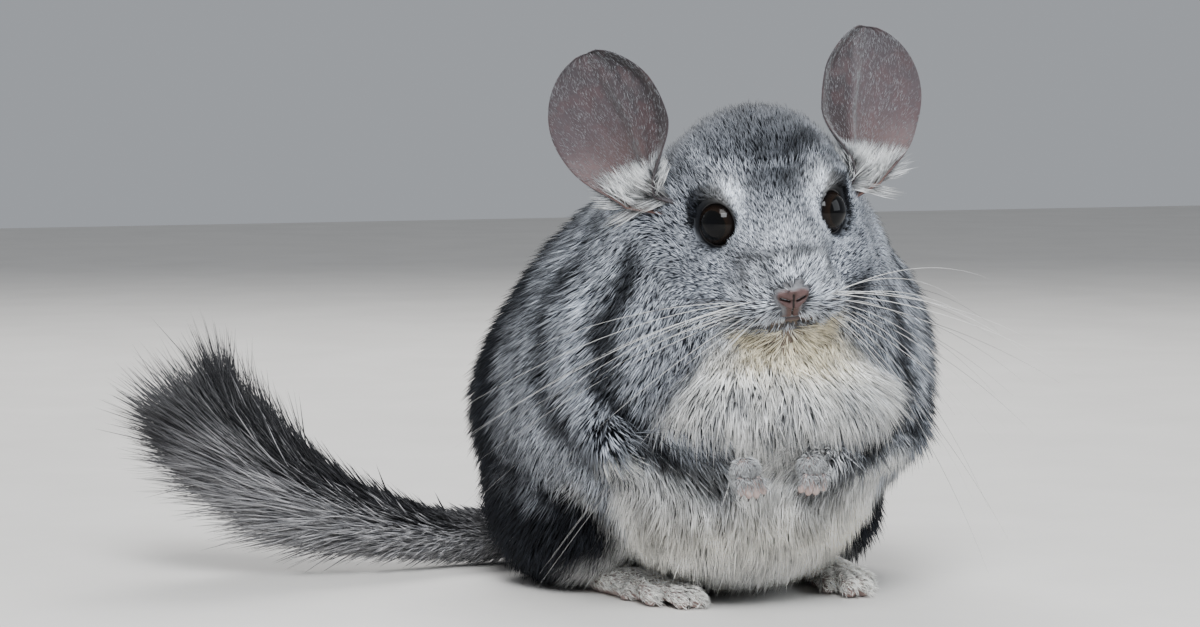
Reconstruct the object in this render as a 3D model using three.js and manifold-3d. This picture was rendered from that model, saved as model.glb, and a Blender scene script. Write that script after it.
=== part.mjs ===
// A life-size grey chinchilla that sits up on its haunches with its forepaws at its chest, in millimetres.
// +Z is up, -Y is the way the body faces and +X is the animal's left.
// The origin is on the floor, in the middle of the flat that the rump sits on.

import * as THREE from "three";
import { mergeVertices } from "three/addons/utils/BufferGeometryUtils.js";
import Module from "manifold-3d";

const wasm = await Module();
wasm.setup();

// Driving dimensions of the furred animal
const halfWidth = 76; // of the body, across the flanks
const halfLength = 84; // of the body, from chest to rump
const backHeight = 146; // from the floor to the top of the shoulders
const headHalfWidth = 33;
const headHalfLength = 40;
const headHalfHeight = 31;
const headCentre = [-3, -47, 124];
const headTurn = -15; // degrees, towards its own right
const headLean = -6; // degrees, with its left ear the higher
const headNod = 27; // degrees, nose down
const eyeRadius = 8;
const lidThickness = 1.3;
const earLength = 49;
const earHalfWidth = 21;
const earThickness = 1.3;
const pawLength = 9;
const fingerRadius = 1.5;
const footLength = 60;
const footHalfWidth = 7.5;
const footHeight = 9;
const toeRadius = 3;
const clawLength = 2.6;
const tailRadius = 12; // near the body, with its fur
const gap = 0.3; // between pieces that touch

const at = (x, y, z) => new THREE.Vector3(x, y, z);
const radians = THREE.MathUtils.degToRad;
const { clamp, lerp, smoothstep } = THREE.MathUtils;
const sides = [["right", -1], ["left", 1]];
const bothSides = (make) => sides.map(([, side]) => make(side));

// The head's own frame: x to its left, -y to the nose, z to the crown.
const headPose = new THREE.Quaternion().setFromEuler(
  new THREE.Euler(radians(headNod), radians(headLean), radians(headTurn), "ZYX"),
);
const onHead = (x, y, z) => at(x, y, z).applyQuaternion(headPose).add(at(...headCentre));
const headWay = (x, y, z) => at(x, y, z).normalize().applyQuaternion(headPose);

// Places on the body are shares of its half width, half length and height.
const onBody = (x, y, z) => at(x * halfWidth, y * halfLength, z * backHeight);

// Forms

// A form is a rounded lump: its middle, its half sizes, how wide a fillet joins it to the rest, and its turn.
const form = (centre, radii, soft, turn = new THREE.Quaternion()) => ({ centre, radii, soft, turn });

const bodyForm = (x, y, z, wide, long, high, soft) => form(onBody(x, y, z), onBody(wide, long, high), soft);

const headForm = (x, y, z, wide, long, high, soft) =>
  form(
    onHead(x * headHalfWidth, y * headHalfLength, z * headHalfHeight),
    at(wide * headHalfWidth, long * headHalfLength, high * headHalfHeight),
    soft,
    headPose,
  );

// A lump drawn out between two places, with its thickness.
function limbForm(from, to, thick, soft) {
  const way = to.clone().sub(from);
  const turn = new THREE.Quaternion().setFromUnitVectors(at(0, 0, 1), way.clone().normalize());
  return form(from.clone().lerp(to, 0.5), at(thick, thick, way.length() / 2 + thick * 0.7), soft, turn);
}

const bodyForms = [
  bodyForm(0, 0.02, 0.44, 0.97, 0.92, 0.375, 10), // flanks
  bodyForm(0, 0.34, 0.33, 0.84, 0.64, 0.34, 26), // rump
  bodyForm(0, 0.05, 0.16, 0.55, 0.62, 0.185, 16), // seat
  bodyForm(0.02, -0.14, 0.6, 0.84, 0.7, 0.38, 26), // shoulders
  bodyForm(-0.1, -0.48, 0.27, 0.6, 0.42, 0.24, 14), // belly
  bodyForm(-0.02, -0.72, 0.46, 0.54, 0.34, 0.17, 6), // ruff of the chest
  bodyForm(-0.02, -0.3, 0.8, 0.52, 0.44, 0.2, 24), // nape
];

const headForms = [
  headForm(0, 0.12, 0.14, 0.95, 0.84, 0.96, 8), // skull
  headForm(0, -0.58, 0.08, 0.44, 0.52, 0.44, 14), // bridge of the nose
  headForm(0, -0.84, -0.2, 0.42, 0.34, 0.34, 8), // muzzle
  headForm(0, -0.5, -0.4, 0.5, 0.5, 0.42, 10), // jaw
  headForm(0, -0.84, -0.62, 0.27, 0.24, 0.17, 3), // chin
  headForm(0, -1.1, -0.06, 0.14, 0.1, 0.13, 2), // nose pad
  ...bothSides((side) => headForm(side * 0.29, -0.9, -0.3, 0.28, 0.26, 0.27, 4)), // whisker pads
  ...bothSides((side) => headForm(side * 0.62, -0.1, -0.3, 0.42, 0.6, 0.6, 10)), // cheeks
  ...bothSides((side) => headForm(side * 0.5, -0.22, 0.5, 0.28, 0.36, 0.24, 8)), // brows
];

const shoulderSpot = (side) => onBody(side * 0.58, -0.3, 0.5);
const elbowSpot = (side) => onBody(side * 0.68 - 0.06, -0.58, 0.37);
const wristSpot = (side) => onBody(side * 0.15 - 0.185, -0.95, 0.325);

const haunchForm = (side) => bodyForm(side * 0.54, 0.18, 0.195, 0.37, 0.5, 0.215, 10);
const upperArmForm = (side) => limbForm(shoulderSpot(side), elbowSpot(side), 15, 6);
const forearmForm = (side) => limbForm(elbowSpot(side), wristSpot(side), 11, 5);

const trunkForms = [
  ...bodyForms,
  ...bothSides(haunchForm),
  ...bothSides(upperArmForm),
  ...bothSides(forearmForm),
];

// How far a place is outside one form, roughly, in millimetres; it is negative inside.
function outside(place, { centre, radii, turn }) {
  const local = place.clone().sub(centre).applyQuaternion(turn.clone().invert());
  const share = local.clone().divide(radii).length();
  const slope = local.clone().divide(radii).divide(radii).length();
  return slope > 1e-6 ? (share * (share - 1)) / slope : -Math.min(...radii.toArray());
}

// How far a place is outside all the forms, with a fillet where two of them meet.
function outsideAll(place, forms) {
  return forms.reduce((distance, each) => {
    const next = outside(place, each);
    const near = Math.max(each.soft - Math.abs(distance - next), 0) / each.soft;
    return Math.min(distance, next) - (near * near * each.soft) / 4;
  }, 1e3);
}

// The place where a ray from the middle of some forms leaves them, or the end of its reach.
function surfaceAlong(forms, middle, way, reach, grow = 0) {
  const steps = 20;
  const place = (t) => middle.clone().addScaledVector(way, t);
  let inner = 0;
  let outer = reach;
  for (let i = 1; i <= steps; i++) {
    const t = (reach * i) / steps;
    if (outsideAll(place(t), forms) > grow) {
      outer = t;
      break;
    }
    inner = t;
  }
  for (let i = 0; i < 14; i++) {
    const t = (inner + outer) / 2;
    if (outsideAll(place(t), forms) > grow) outer = t;
    else inner = t;
  }
  return place(inner);
}

// Solids

// A closed geometry as a solid to join and cut.
function solid(geometry) {
  const bare = new THREE.BufferGeometry().setAttribute("position", geometry.getAttribute("position"));
  if (geometry.index) bare.setIndex(geometry.index);
  const merged = mergeVertices(bare, 1e-4);
  return new wasm.Manifold(
    new wasm.Mesh({
      numProp: 3,
      vertProperties: new Float32Array(merged.attributes.position.array),
      triVerts: new Uint32Array(merged.index.array),
    }),
  );
}

// A solid from a list of places and a list of the three that make each face.
const solidOf = (spots, faces) =>
  solid(
    new THREE.BufferGeometry()
      .setAttribute("position", new THREE.Float32BufferAttribute(spots.flatMap((spot) => spot.toArray()), 3))
      .setIndex(faces),
  );

const largest = (body) => body.decompose().reduce((a, b) => (b.volume() > a.volume() ? b : a));
const joined = (bodies) => bodies.reduce((a, b) => a.add(b));
const without = (body, ...others) => others.reduce((a, b) => a.subtract(b), body);

// A ball drawn out from the middle until it meets the surface of the forms.
function wrap(forms, middle, reach, detail, grow = 0) {
  const ball = new THREE.IcosahedronGeometry(1, detail);
  const spots = ball.attributes.position;
  for (let i = 0; i < spots.count; i++) {
    const way = new THREE.Vector3().fromBufferAttribute(spots, i).normalize();
    const spot = surfaceAlong(forms, middle, way, reach, grow);
    spots.setXYZ(i, spot.x, spot.y, spot.z);
  }
  return solid(ball);
}

// One form as a solid, grown all round by an amount.
function lump({ centre, radii, turn }, grow = 0, detail = 3) {
  const ball = new THREE.IcosahedronGeometry(1, detail);
  ball.scale(radii.x + grow, radii.y + grow, radii.z + grow).applyQuaternion(turn);
  return solid(ball.translate(centre.x, centre.y, centre.z));
}

// All the space on the side of a plane that its normal points to.
function beyond(spot, normal) {
  const size = 600;
  const box = new THREE.BoxGeometry(size, size, size).translate(0, 0, size / 2);
  box.applyQuaternion(new THREE.Quaternion().setFromUnitVectors(at(0, 0, 1), normal));
  return solid(box.translate(spot.x, spot.y, spot.z));
}

// A tube with closed ends. sizeAt(t) gives its half width and half height, and lift is the way its height points.
function sweep(curve, sizeAt, around, steps, lift) {
  const spots = [curve.getPoint(0)];
  const faces = [];
  const ring = (i, j) => 1 + i * around + (j % around);
  for (let i = 0; i <= steps; i++) {
    const t = i / steps;
    const along = curve.getTangent(t);
    const side = lift.clone().cross(along).normalize();
    const up = along.clone().cross(side);
    const [wide, high] = sizeAt(t);
    for (let j = 0; j < around; j++) {
      const turn = (2 * Math.PI * (j + 0.5)) / around;
      const spot = curve.getPoint(t).addScaledVector(side, wide * Math.cos(turn));
      spots.push(spot.addScaledVector(up, high * Math.sin(turn)));
    }
  }
  const end = spots.push(curve.getPoint(1)) - 1;
  for (let j = 0; j < around; j++) {
    faces.push(0, ring(0, j + 1), ring(0, j), end, ring(steps, j), ring(steps, j + 1));
    for (let i = 0; i < steps; i++) {
      faces.push(ring(i, j), ring(i, j + 1), ring(i + 1, j));
      faces.push(ring(i + 1, j), ring(i, j + 1), ring(i + 1, j + 1));
    }
  }
  return solidOf(spots, faces);
}

// A swept piece's outline that swells from a rounded start to a rounded end.
const rounded = (t) => Math.sqrt(clamp(1 - (2 * t - 1) ** 4, 0.04, 1));

// The part, and how a solid is put in it as a named mesh

const part = new THREE.Group();
const furMaterial = (colour) => new THREE.MeshStandardMaterial({ color: colour, roughness: 0.95, metalness: 0 });
const greyFur = furMaterial(0x6f747b);
const darkFur = furMaterial(0x3a3e45);
const whiteFur = furMaterial(0xc9c9c6);
const tailFur = furMaterial(0x55565a);
const earSkin = new THREE.MeshStandardMaterial({ color: 0x6b5f62, roughness: 0.8, metalness: 0 });
const pawSkin = new THREE.MeshStandardMaterial({ color: 0xcfc2be, roughness: 0.85, metalness: 0 });
const eyeGloss = new THREE.MeshStandardMaterial({ color: 0x0b0909, roughness: 0.08, metalness: 0 });

function place(name, body, material) {
  const { vertProperties, triVerts } = largest(body).getMesh();
  const geometry = new THREE.BufferGeometry()
    .setAttribute("position", new THREE.BufferAttribute(vertProperties, 3))
    .setIndex(new THREE.BufferAttribute(triVerts, 1));
  const mesh = new THREE.Mesh(geometry, material);
  mesh.name = name;
  part.add(mesh);
}

// The outer shapes of the head and the trunk, with the room that each takes from its neighbours

const aboveFloor = beyond(at(0, 0, 0), at(0, 0, 1));
const headMiddle = onHead(0, -0.35 * headHalfLength, -0.12 * headHalfHeight);
const headReach = 70;
const headWrap = wrap(headForms, headMiddle, headReach, 11);
const headRoom = wrap(headForms, headMiddle, headReach, 6, 2 * gap);

const trunkMiddle = onBody(0, -0.05, 0.42);
const trunkReach = 130;
const trunkWrap = wrap(trunkForms, trunkMiddle, trunkReach, 8);
const trunkRoom = wrap(trunkForms, trunkMiddle, trunkReach, 8, gap);

// Head: skull and face, with a room for each eye inside its lids

const eyePlace = (side) => onHead(side * 15.3, -15.8, 8.6);
const eyeWay = (side) => headWay(side * 0.73, -0.66, 0.28);
const ball = (radius, centre, detail) => lump(form(centre, at(radius, radius, radius), 0), 0, detail);

// The opening between the lids, from inside the eyeball outwards.
function lidOpening(side) {
  const start = eyePlace(side).addScaledVector(eyeWay(side), eyeRadius * 0.2);
  const end = eyePlace(side).addScaledVector(eyeWay(side), eyeRadius * 3);
  const size = [0.8 * eyeRadius, 0.86 * eyeRadius];
  return sweep(new THREE.LineCurve3(start, end), () => size, 16, 1, headWay(0, 0, 1));
}

let headSolid = headWrap;
for (const [, side] of sides) {
  headSolid = headSolid.add(ball(eyeRadius + lidThickness, eyePlace(side), 4));
  headSolid = without(headSolid, ball(eyeRadius + gap, eyePlace(side), 3), lidOpening(side));
}

// A groove pressed into the face through the places where rays from inside the muzzle leave it.
const muzzleMiddle = onHead(0, -0.7 * headHalfLength, -0.25 * headHalfHeight);
const onFace = ([x, z]) => surfaceAlong(headForms, muzzleMiddle, headWay(x, -1, z), headReach);
function groove(ways, width, steps) {
  const curve = new THREE.CatmullRomCurve3(ways.map(onFace));
  return sweep(curve, (t) => [width * rounded(t), width * rounded(t)], 6, steps, headWay(0, -1, 0.2));
}
const mouth = groove([[-1.15, -0.66], [-0.55, -0.42], [0, -0.33], [0.55, -0.42], [1.15, -0.66]], 1, 12);
const cleft = groove([[0, -0.33], [0, -0.1], [0, 0.14]], 0.6, 4);
const nostrils = bothSides((side) =>
  groove([[side * 0.07, 0.2], [side * 0.15, 0.24], [side * 0.21, 0.34]], 0.8, 4),
);
place("head", without(headSolid, mouth, cleft, ...nostrils), greyFur);
for (const [sideName, side] of sides) {
  place(`eye_${sideName}`, ball(eyeRadius, eyePlace(side), 3), eyeGloss);
}

// Ears

// A curved leaf of even thickness. surface(s, w) gives its middle, for s from root to tip and w from -1 to 1 across.
function leaf(surface, along, across, thickness) {
  const spots = [];
  const faces = [];
  const step = 1e-3;
  const columns = across + 1;
  const sheet = (along + 1) * columns;
  for (const half of [-0.5, 0.5]) {
    for (let i = 0; i <= along; i++) {
      for (let j = 0; j <= across; j++) {
        const s = i / along;
        const w = (2 * j) / across - 1;
        const ds = surface(s + step, w).sub(surface(s - step, w));
        const dw = surface(s, w + step).sub(surface(s, w - step));
        spots.push(surface(s, w).addScaledVector(ds.cross(dw).normalize(), half * thickness));
      }
    }
  }
  const quad = (a, b, c, d) => faces.push(a, b, c, a, c, d);
  for (let i = 0; i < along; i++) {
    for (let j = 0; j < across; j++) {
      const a = i * columns + j;
      const b = a + columns;
      faces.push(a, a + 1, b, b, a + 1, b + 1);
      faces.push(a + sheet, b + sheet, a + 1 + sheet, b + sheet, b + 1 + sheet, a + 1 + sheet);
    }
    const a = i * columns;
    const b = a + across;
    quad(a, a + columns, a + columns + sheet, a + sheet);
    quad(b, b + sheet, b + columns + sheet, b + columns);
  }
  for (let j = 0; j < across; j++) {
    const tip = along * columns + j;
    quad(j, j + sheet, j + 1 + sheet, j + 1);
    quad(tip, tip + 1, tip + 1 + sheet, tip + sheet);
  }
  return solidOf(spots, faces);
}

// The right ear is turned out a little more than the left one, and is set higher.
const earRoot = (side) => onHead(side * 33.5 - 2, 6, 7.2 - side * 1.2);
const earTilt = (side) => 0.3 - side * 0.06;
const earSplay = (side) => 0.54 - side * 0.07;
const earUp = (side) => headWay(side * earTilt(side), 0.4, 0.89);
const earFacing = (side) => headWay(side * earSplay(side), -0.787, 0.4);

// The ear's middle surface: an arc across that opens from a funnel at the root to a wide cup, with one long fold.
function earSurface(side) {
  const up = earUp(side);
  const facing = earFacing(side);
  facing.addScaledVector(up, -facing.dot(up)).normalize();
  const outward = up.clone().cross(facing).multiplyScalar(side);
  const widest = 0.56;
  return (s, w) => {
    const rise = clamp(s / widest, 0, 1);
    const fall = clamp((s - widest) / (1.01 - widest), 0, 1);
    const halfArc = earHalfWidth * lerp(0.5, 1, Math.sin((rise * Math.PI) / 2)) * Math.sqrt(1 - fall * fall);
    const halfAngle = lerp(1.9, 0.62, smoothstep(s, 0, 0.45));
    const radius = halfArc / halfAngle;
    const foldShape = Math.exp(-(((w + 0.38) / 0.2) ** 2)) * smoothstep(s, 0.05, 0.3);
    const fold = 3.2 * foldShape * (1 - smoothstep(s, 0.6, 0.95));
    const forward = radius * (1 - Math.cos(halfAngle * w)) + fold - 5 * s * s;
    return earRoot(side)
      .addScaledVector(up, earLength * s)
      .addScaledVector(outward, radius * Math.sin(halfAngle * w))
      .addScaledVector(facing, forward);
  };
}

for (const [sideName, side] of sides) {
  const ear = leaf(earSurface(side), 9, 10, earThickness);
  place(`ear_${sideName}`, without(ear, headRoom, trunkRoom), earSkin);
}

// Trunk: the limbs' flesh, the neck behind the head, and the torso

const trunk = trunkWrap.intersect(aboveFloor).subtract(headRoom);

// Each flesh node is what the trunk has inside a lump that is centred on its skin, so that the border is square to it.
const flesh = [];
for (const [sideName, side] of sides) {
  const shoulder = onBody(side * 0.8, -0.34, 0.5);
  const elbow = onBody(side * 0.75 - 0.06, -0.64, 0.37);
  const wrist = onBody(side * 0.15 - 0.185, -1.02, 0.315);
  flesh.push([`haunch_${sideName}`, bodyForm(side * 0.86, 0.14, 0.1, 0.5, 0.52, 0.3, 0), darkFur]);
  flesh.push([`upper_arm_${sideName}`, limbForm(shoulder, elbow, 16, 0), greyFur]);
  flesh.push([`forearm_${sideName}`, limbForm(elbow, wrist, 12, 0), whiteFur]);
}
flesh.push(["neck", bodyForm(-0.02, -0.16, 0.92, 0.62, 0.5, 0.2, 0), greyFur]);
let torso = trunk;
for (const [name, shape, material] of flesh) {
  place(name, torso.intersect(lump(shape)), material);
  torso = torso.subtract(lump(shape, gap));
}
place("torso", torso, greyFur);

// Forepaws: a palm and four fingers that curl in and down

function claw(from, way, radius) {
  const tip = from.clone().addScaledVector(way, clawLength).add(at(0, 0, -0.3 * clawLength));
  const bend = from.clone().addScaledVector(way, clawLength * 0.5);
  const curve = new THREE.QuadraticBezierCurve3(from, bend, tip);
  return sweep(curve, (t) => [radius * (1 - 0.8 * t), radius * (1 - 0.8 * t)], 4, 2, at(0, 0, 1));
}

function forepaw(side) {
  const wrist = wristSpot(side).add(at(-0.02 * halfWidth, -0.055 * halfLength, 0));
  const pieces = [lump(form(wrist, at(4.6, 4.2, 4.8), 0), 0, 2)];
  for (const finger of [-1.5, -0.5, 0.5, 1.5]) {
    const knuckle = wrist.clone().add(at(finger * 2.1, -2.4, -1.6));
    const bend = knuckle.clone().add(at(finger * 0.5 - side * 1.2, -2.2, -pawLength * 0.35));
    const tip = bend.clone().add(at(-side * 1.2, 1.6, -pawLength * 0.4));
    const curve = new THREE.QuadraticBezierCurve3(knuckle, bend, tip);
    pieces.push(sweep(curve, (t) => [fingerRadius * rounded(t), fingerRadius * rounded(t)], 5, 3, at(0, -1, 0)));
  }
  return joined(pieces);
}

// Hind feet: a long sole, four toes and their claws

function hindfoot(side) {
  const heel = at(side * 0.53 * halfWidth, 0.05 * halfLength, footHeight * 0.45);
  const along = at(-side * 0.19, -1, 0).normalize();
  const across = at(0, 0, 1).cross(along).multiplyScalar(side);
  const spot = (share, aside, high) =>
    heel
      .clone()
      .addScaledVector(along, share * footLength)
      .addScaledVector(across, aside)
      .setZ(high);
  const soleLine = new THREE.LineCurve3(spot(0, 0, footHeight * 0.42), spot(0.7, 0, footHeight * 0.42));
  const soleSize = (t) => [
    footHalfWidth * lerp(0.7, 1, smoothstep(t, 0.2, 0.9)) * rounded(t),
    footHeight * 0.55 * rounded(t),
  ];
  const pieces = [sweep(soleLine, soleSize, 8, 6, at(0, 0, 1))];
  const toes = [[-4.6, 0.82], [-1.6, 1], [1.8, 0.98], [5, 0.8]];
  for (const [aside, reach] of toes) {
    const start = spot(0.6, aside * 0.8, toeRadius * 1.3);
    const middle = spot(reach - 0.14, aside * 1.25, toeRadius * 1.5);
    const end = spot(reach, aside * 1.45, toeRadius * 0.7);
    const curve = new THREE.QuadraticBezierCurve3(start, middle, end);
    const size = (t) => [toeRadius * 0.85 * rounded(t), toeRadius * rounded(t)];
    pieces.push(sweep(curve, size, 6, 4, at(0, 0, 1)));
    pieces.push(claw(spot(reach - 0.03, aside * 1.43, toeRadius * 1.1), along, 1));
  }
  return joined(pieces).intersect(aboveFloor);
}

for (const [sideName, side] of sides) {
  place(`forepaw_${sideName}`, forepaw(side).subtract(trunkRoom), pawSkin);
  place(`hindfoot_${sideName}`, hindfoot(side).subtract(trunkRoom), pawSkin);
}

// Tail: a furred root that lies on the floor and a brush that sweeps up and away to the animal's right

const tailLine = new THREE.CatmullRomCurve3([
  onBody(0.1, 0.66, 0.11),
  onBody(-0.3, 0.84, 0.085),
  onBody(-0.72, 0.83, 0.072),
  onBody(-1.1, 0.81, 0.1),
  onBody(-1.5, 0.9, 0.17),
  onBody(-1.86, 1.02, 0.32),
  onBody(-2.08, 1.1, 0.54),
]);
const tailUp = at(0.35, 0, 1).normalize();
const tailLength = tailLine.getLength();
const rootLength = 0.42 * tailLength;
const brushStart = rootLength - 8; // a little inside the tail's root
const stretch = (from, to) => {
  const spots = [];
  for (let i = 0; i <= 8; i++) spots.push(tailLine.getPointAt(lerp(from, to, i / 8) / tailLength));
  return new THREE.CatmullRomCurve3(spots);
};
const rootSize = (grow) => (t) => {
  const radius = tailRadius * lerp(0.95, 1.12, t) + grow;
  return [radius, radius * 0.86];
};
const tailRoot = sweep(stretch(0, rootLength), rootSize(0), 12, 10, tailUp);
const tailRootRoom = sweep(stretch(0, rootLength + gap), rootSize(gap), 12, 10, tailUp);
place("tail_root", tailRoot.intersect(aboveFloor).subtract(trunkRoom), greyFur);

// The brush: a core, and flat locks of long hair that leave it, lean along the tail and end at its outline.
const brushLine = stretch(brushStart, tailLength);
const brushRadius = (t) => {
  const closing = lerp(1, 0.35, smoothstep(t, 0.85, 1));
  return lerp(1.15, 2.4, smoothstep(t, 0, 0.85)) * closing * tailRadius;
};
const coreShare = 0.86; // of the brush's length
const coreSize = (t) => {
  const radius = tailRadius * lerp(0.62, 0.8, t) * Math.sqrt(clamp(1 - t ** 6, 0.1, 1));
  return [radius, radius];
};
const lockCount = 40;
const lockWidth = 5.4; // half the width of a lock, at its widest
const lockDepth = 1.2;
const lockReach = 0.3; // of the brush's length, from root to tip
const goldenTurn = 2.4; // between a lock and the next one along
THREE.MathUtils.seededRandom(41);
const chance = (low, high) => lerp(low, high, THREE.MathUtils.seededRandom());

// A lock's place is the share of the brush where it ends and its turn about the tail.
function lock(end, turn) {
  const start = Math.max(end - lockReach, 0) * coreShare;
  const along = brushLine.getTangentAt(end);
  const side = tailUp.clone().cross(along).normalize();
  const top = along.clone().cross(side);
  const radial = side.multiplyScalar(Math.cos(turn)).addScaledVector(top, Math.sin(turn));
  const spot = (share, away) => brushLine.getPointAt(share).addScaledVector(radial, away);
  const radius = brushRadius(end) * chance(0.88, 1.02);
  const bend = spot(lerp(start, end, 0.45), 0.55 * radius);
  const curve = new THREE.QuadraticBezierCurve3(spot(start, 0.1 * tailRadius), bend, spot(end, radius));
  const size = (t) => {
    const taper = lerp(0.75, 1, smoothstep(t, 0, 0.4)) * lerp(1, 0.14, smoothstep(t, 0.4, 1));
    return [lockWidth * taper, lockDepth * taper];
  };
  return sweep(curve, size, 4, 3, radial);
}

const brushParts = [sweep(stretch(brushStart, lerp(brushStart, tailLength, coreShare)), coreSize, 10, 8, tailUp)];
for (let i = 0; i < lockCount; i++) {
  brushParts.push(lock(lerp(0.24, 1, (i + chance(0, 1)) / lockCount), i * goldenTurn));
}
const brush = joined(brushParts).intersect(aboveFloor);
place("tail_brush", brush.subtract(tailRootRoom).subtract(trunkRoom), tailFur);

export default part;
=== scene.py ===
import math

import bpy
import numpy as np
from mathutils import Matrix


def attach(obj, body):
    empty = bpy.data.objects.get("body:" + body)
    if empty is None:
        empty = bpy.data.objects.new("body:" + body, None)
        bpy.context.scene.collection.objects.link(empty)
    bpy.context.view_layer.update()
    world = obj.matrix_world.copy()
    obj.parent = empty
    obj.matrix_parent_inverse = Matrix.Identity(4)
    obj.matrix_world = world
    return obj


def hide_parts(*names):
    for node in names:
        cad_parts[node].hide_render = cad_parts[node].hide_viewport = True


# A sitting grey chinchilla: one skin, a coat of solid tufts, ears, eyes, nose, paws, whiskers and a
# bushy tail. Shapes are worked out in millimetres and put into their meshes in metres.

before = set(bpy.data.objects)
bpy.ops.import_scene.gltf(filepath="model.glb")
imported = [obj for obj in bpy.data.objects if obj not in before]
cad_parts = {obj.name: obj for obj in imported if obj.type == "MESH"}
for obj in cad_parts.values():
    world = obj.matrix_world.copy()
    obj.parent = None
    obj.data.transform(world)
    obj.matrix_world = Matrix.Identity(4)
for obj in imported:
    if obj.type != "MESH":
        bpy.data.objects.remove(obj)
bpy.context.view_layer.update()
mm = 0.001
up = np.array([0.0, 0.0, 1.0])
sides = {"right": -1, "left": 1}
chance = np.random.default_rng(7)


# Small vector helpers on arrays of places

def unit(v):
    return v / np.maximum(np.linalg.norm(v, axis=-1, keepdims=True), 1e-9)


def dot(a, b):
    return np.sum(a * b, axis=-1, keepdims=True)


def smooth(x, low, high):
    t = np.clip((x - low) / (high - low), 0, 1)
    return t * t * (3 - 2 * t)


def fade(x, low, high):
    return 1.0 - smooth(x, low, high)


# A bump of height 1 at a middle, falling off over a width.
def hump(x, middle, width):
    return np.exp(-(((x - middle) / width) ** 2))


# A soft field between about -1 and 1: seven sines in random directions, of about one wavelength.
def waves(places, wavelength, seed, stretch=(1, 1, 1)):
    draw = np.random.default_rng(seed)
    total = np.zeros(len(places))
    for _ in range(7):
        way = unit(draw.normal(size=3)) * (2 * math.pi / wavelength) * draw.uniform(0.7, 1.5)
        total += np.sin(places / np.array(stretch) @ way + draw.uniform(0, 6.28))
    return total / 3.2


# Meshes

def putMesh(name, spots, corners, perFace, marks=None, uv=None, smoothShade=True):
    mesh = bpy.data.meshes.new(name)
    faceCount = len(corners) // perFace
    mesh.vertices.add(len(spots))
    mesh.vertices.foreach_set("co", (np.asarray(spots) * mm).astype(np.float32).ravel())
    mesh.loops.add(len(corners))
    mesh.loops.foreach_set("vertex_index", np.asarray(corners, np.int32))
    mesh.polygons.add(faceCount)
    mesh.polygons.foreach_set("loop_start", np.arange(0, len(corners), perFace, dtype=np.int32))
    mesh.polygons.foreach_set("use_smooth", np.full(faceCount, smoothShade))
    if uv is not None:
        mesh.uv_layers.new(name="OFBake").data.foreach_set("uv", uv[corners].astype(np.float32).ravel())
    mesh.update(calc_edges=True)
    setMarks(mesh, marks or {})
    thing = bpy.data.objects.new(name, mesh)
    bpy.context.scene.collection.objects.link(thing)
    return thing


def putSolid(name, solid, marks=None):
    spots, faces = solid
    return putMesh(name, spots, faces.ravel(), 3, marks)


# Marks are what the shaders read: a value for each place of a mesh, or one for all of them.
def setMarks(mesh, marks):
    for key, values in marks.items():
        layer = mesh.attributes.new(key, "FLOAT", "POINT")
        layer.data.foreach_set("value", np.array(np.broadcast_to(values, len(mesh.vertices)), np.float32))


# Quads between neighbouring rows of a grid, joined round where the columns wrap.
def gridCorners(rows, columns, wrap):
    i, j = np.meshgrid(np.arange(rows - 1), np.arange(columns if wrap else columns - 1), indexing="ij")
    k = (j + 1) % columns
    quads = np.stack([i * columns + j, i * columns + k, (i + 1) * columns + k, (i + 1) * columns + j], -1)
    return quads.reshape(-1, 4)


def halved(quads):
    return np.concatenate([quads[:, [0, 1, 2]], quads[:, [0, 2, 3]]])


# A closed surface from rings of places: quads between them and a fan on a middle place at each end.
def ringsToMesh(rings):
    rows, columns = rings.shape[:2]
    spots = np.concatenate([rings.reshape(-1, 3), rings[:1].mean(1), rings[-1:].mean(1)])
    quads = gridCorners(rows, columns, True)
    j = np.arange(columns)
    k = (j + 1) % columns
    first, last = rows * columns, rows * columns + 1
    base = (rows - 1) * columns
    caps = np.concatenate([np.stack([np.full(columns, first), k, j], -1),
                           np.stack([np.full(columns, last), base + j, base + k], -1)])
    return outward(spots, np.concatenate([halved(quads), caps]))


# Triangles turned so that a closed surface's volume is positive.
def outward(spots, faces):
    a, b, c = (spots[faces[:, i]] for i in range(3))
    if np.sum(a * np.cross(b, c)) < 0:
        faces = faces[:, ::-1]
    return spots, faces


def joinMeshes(parts):
    spots, faces, start = [], [], 0
    for partSpots, partFaces in parts:
        spots.append(partSpots)
        faces.append(partFaces + start)
        start += len(partSpots)
    return np.concatenate(spots), np.concatenate(faces)


# A tube: an ellipse carried along a smooth path, its half width and half height given at each step.
def tube(path, wide, high, around=12, lift=up):
    path = np.asarray(path, float)
    along = unit(np.gradient(path, axis=0))
    side = unit(np.cross(lift, along))
    top = np.cross(along, side)
    turn = 2 * math.pi * (np.arange(around) + 0.5) / around
    wide, high = (np.broadcast_to(v, len(path))[:, None, None] for v in (wide, high))
    rings = path[:, None] + side[:, None] * np.cos(turn)[None, :, None] * wide
    return ringsToMesh(rings + top[:, None] * np.sin(turn)[None, :, None] * high)


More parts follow.
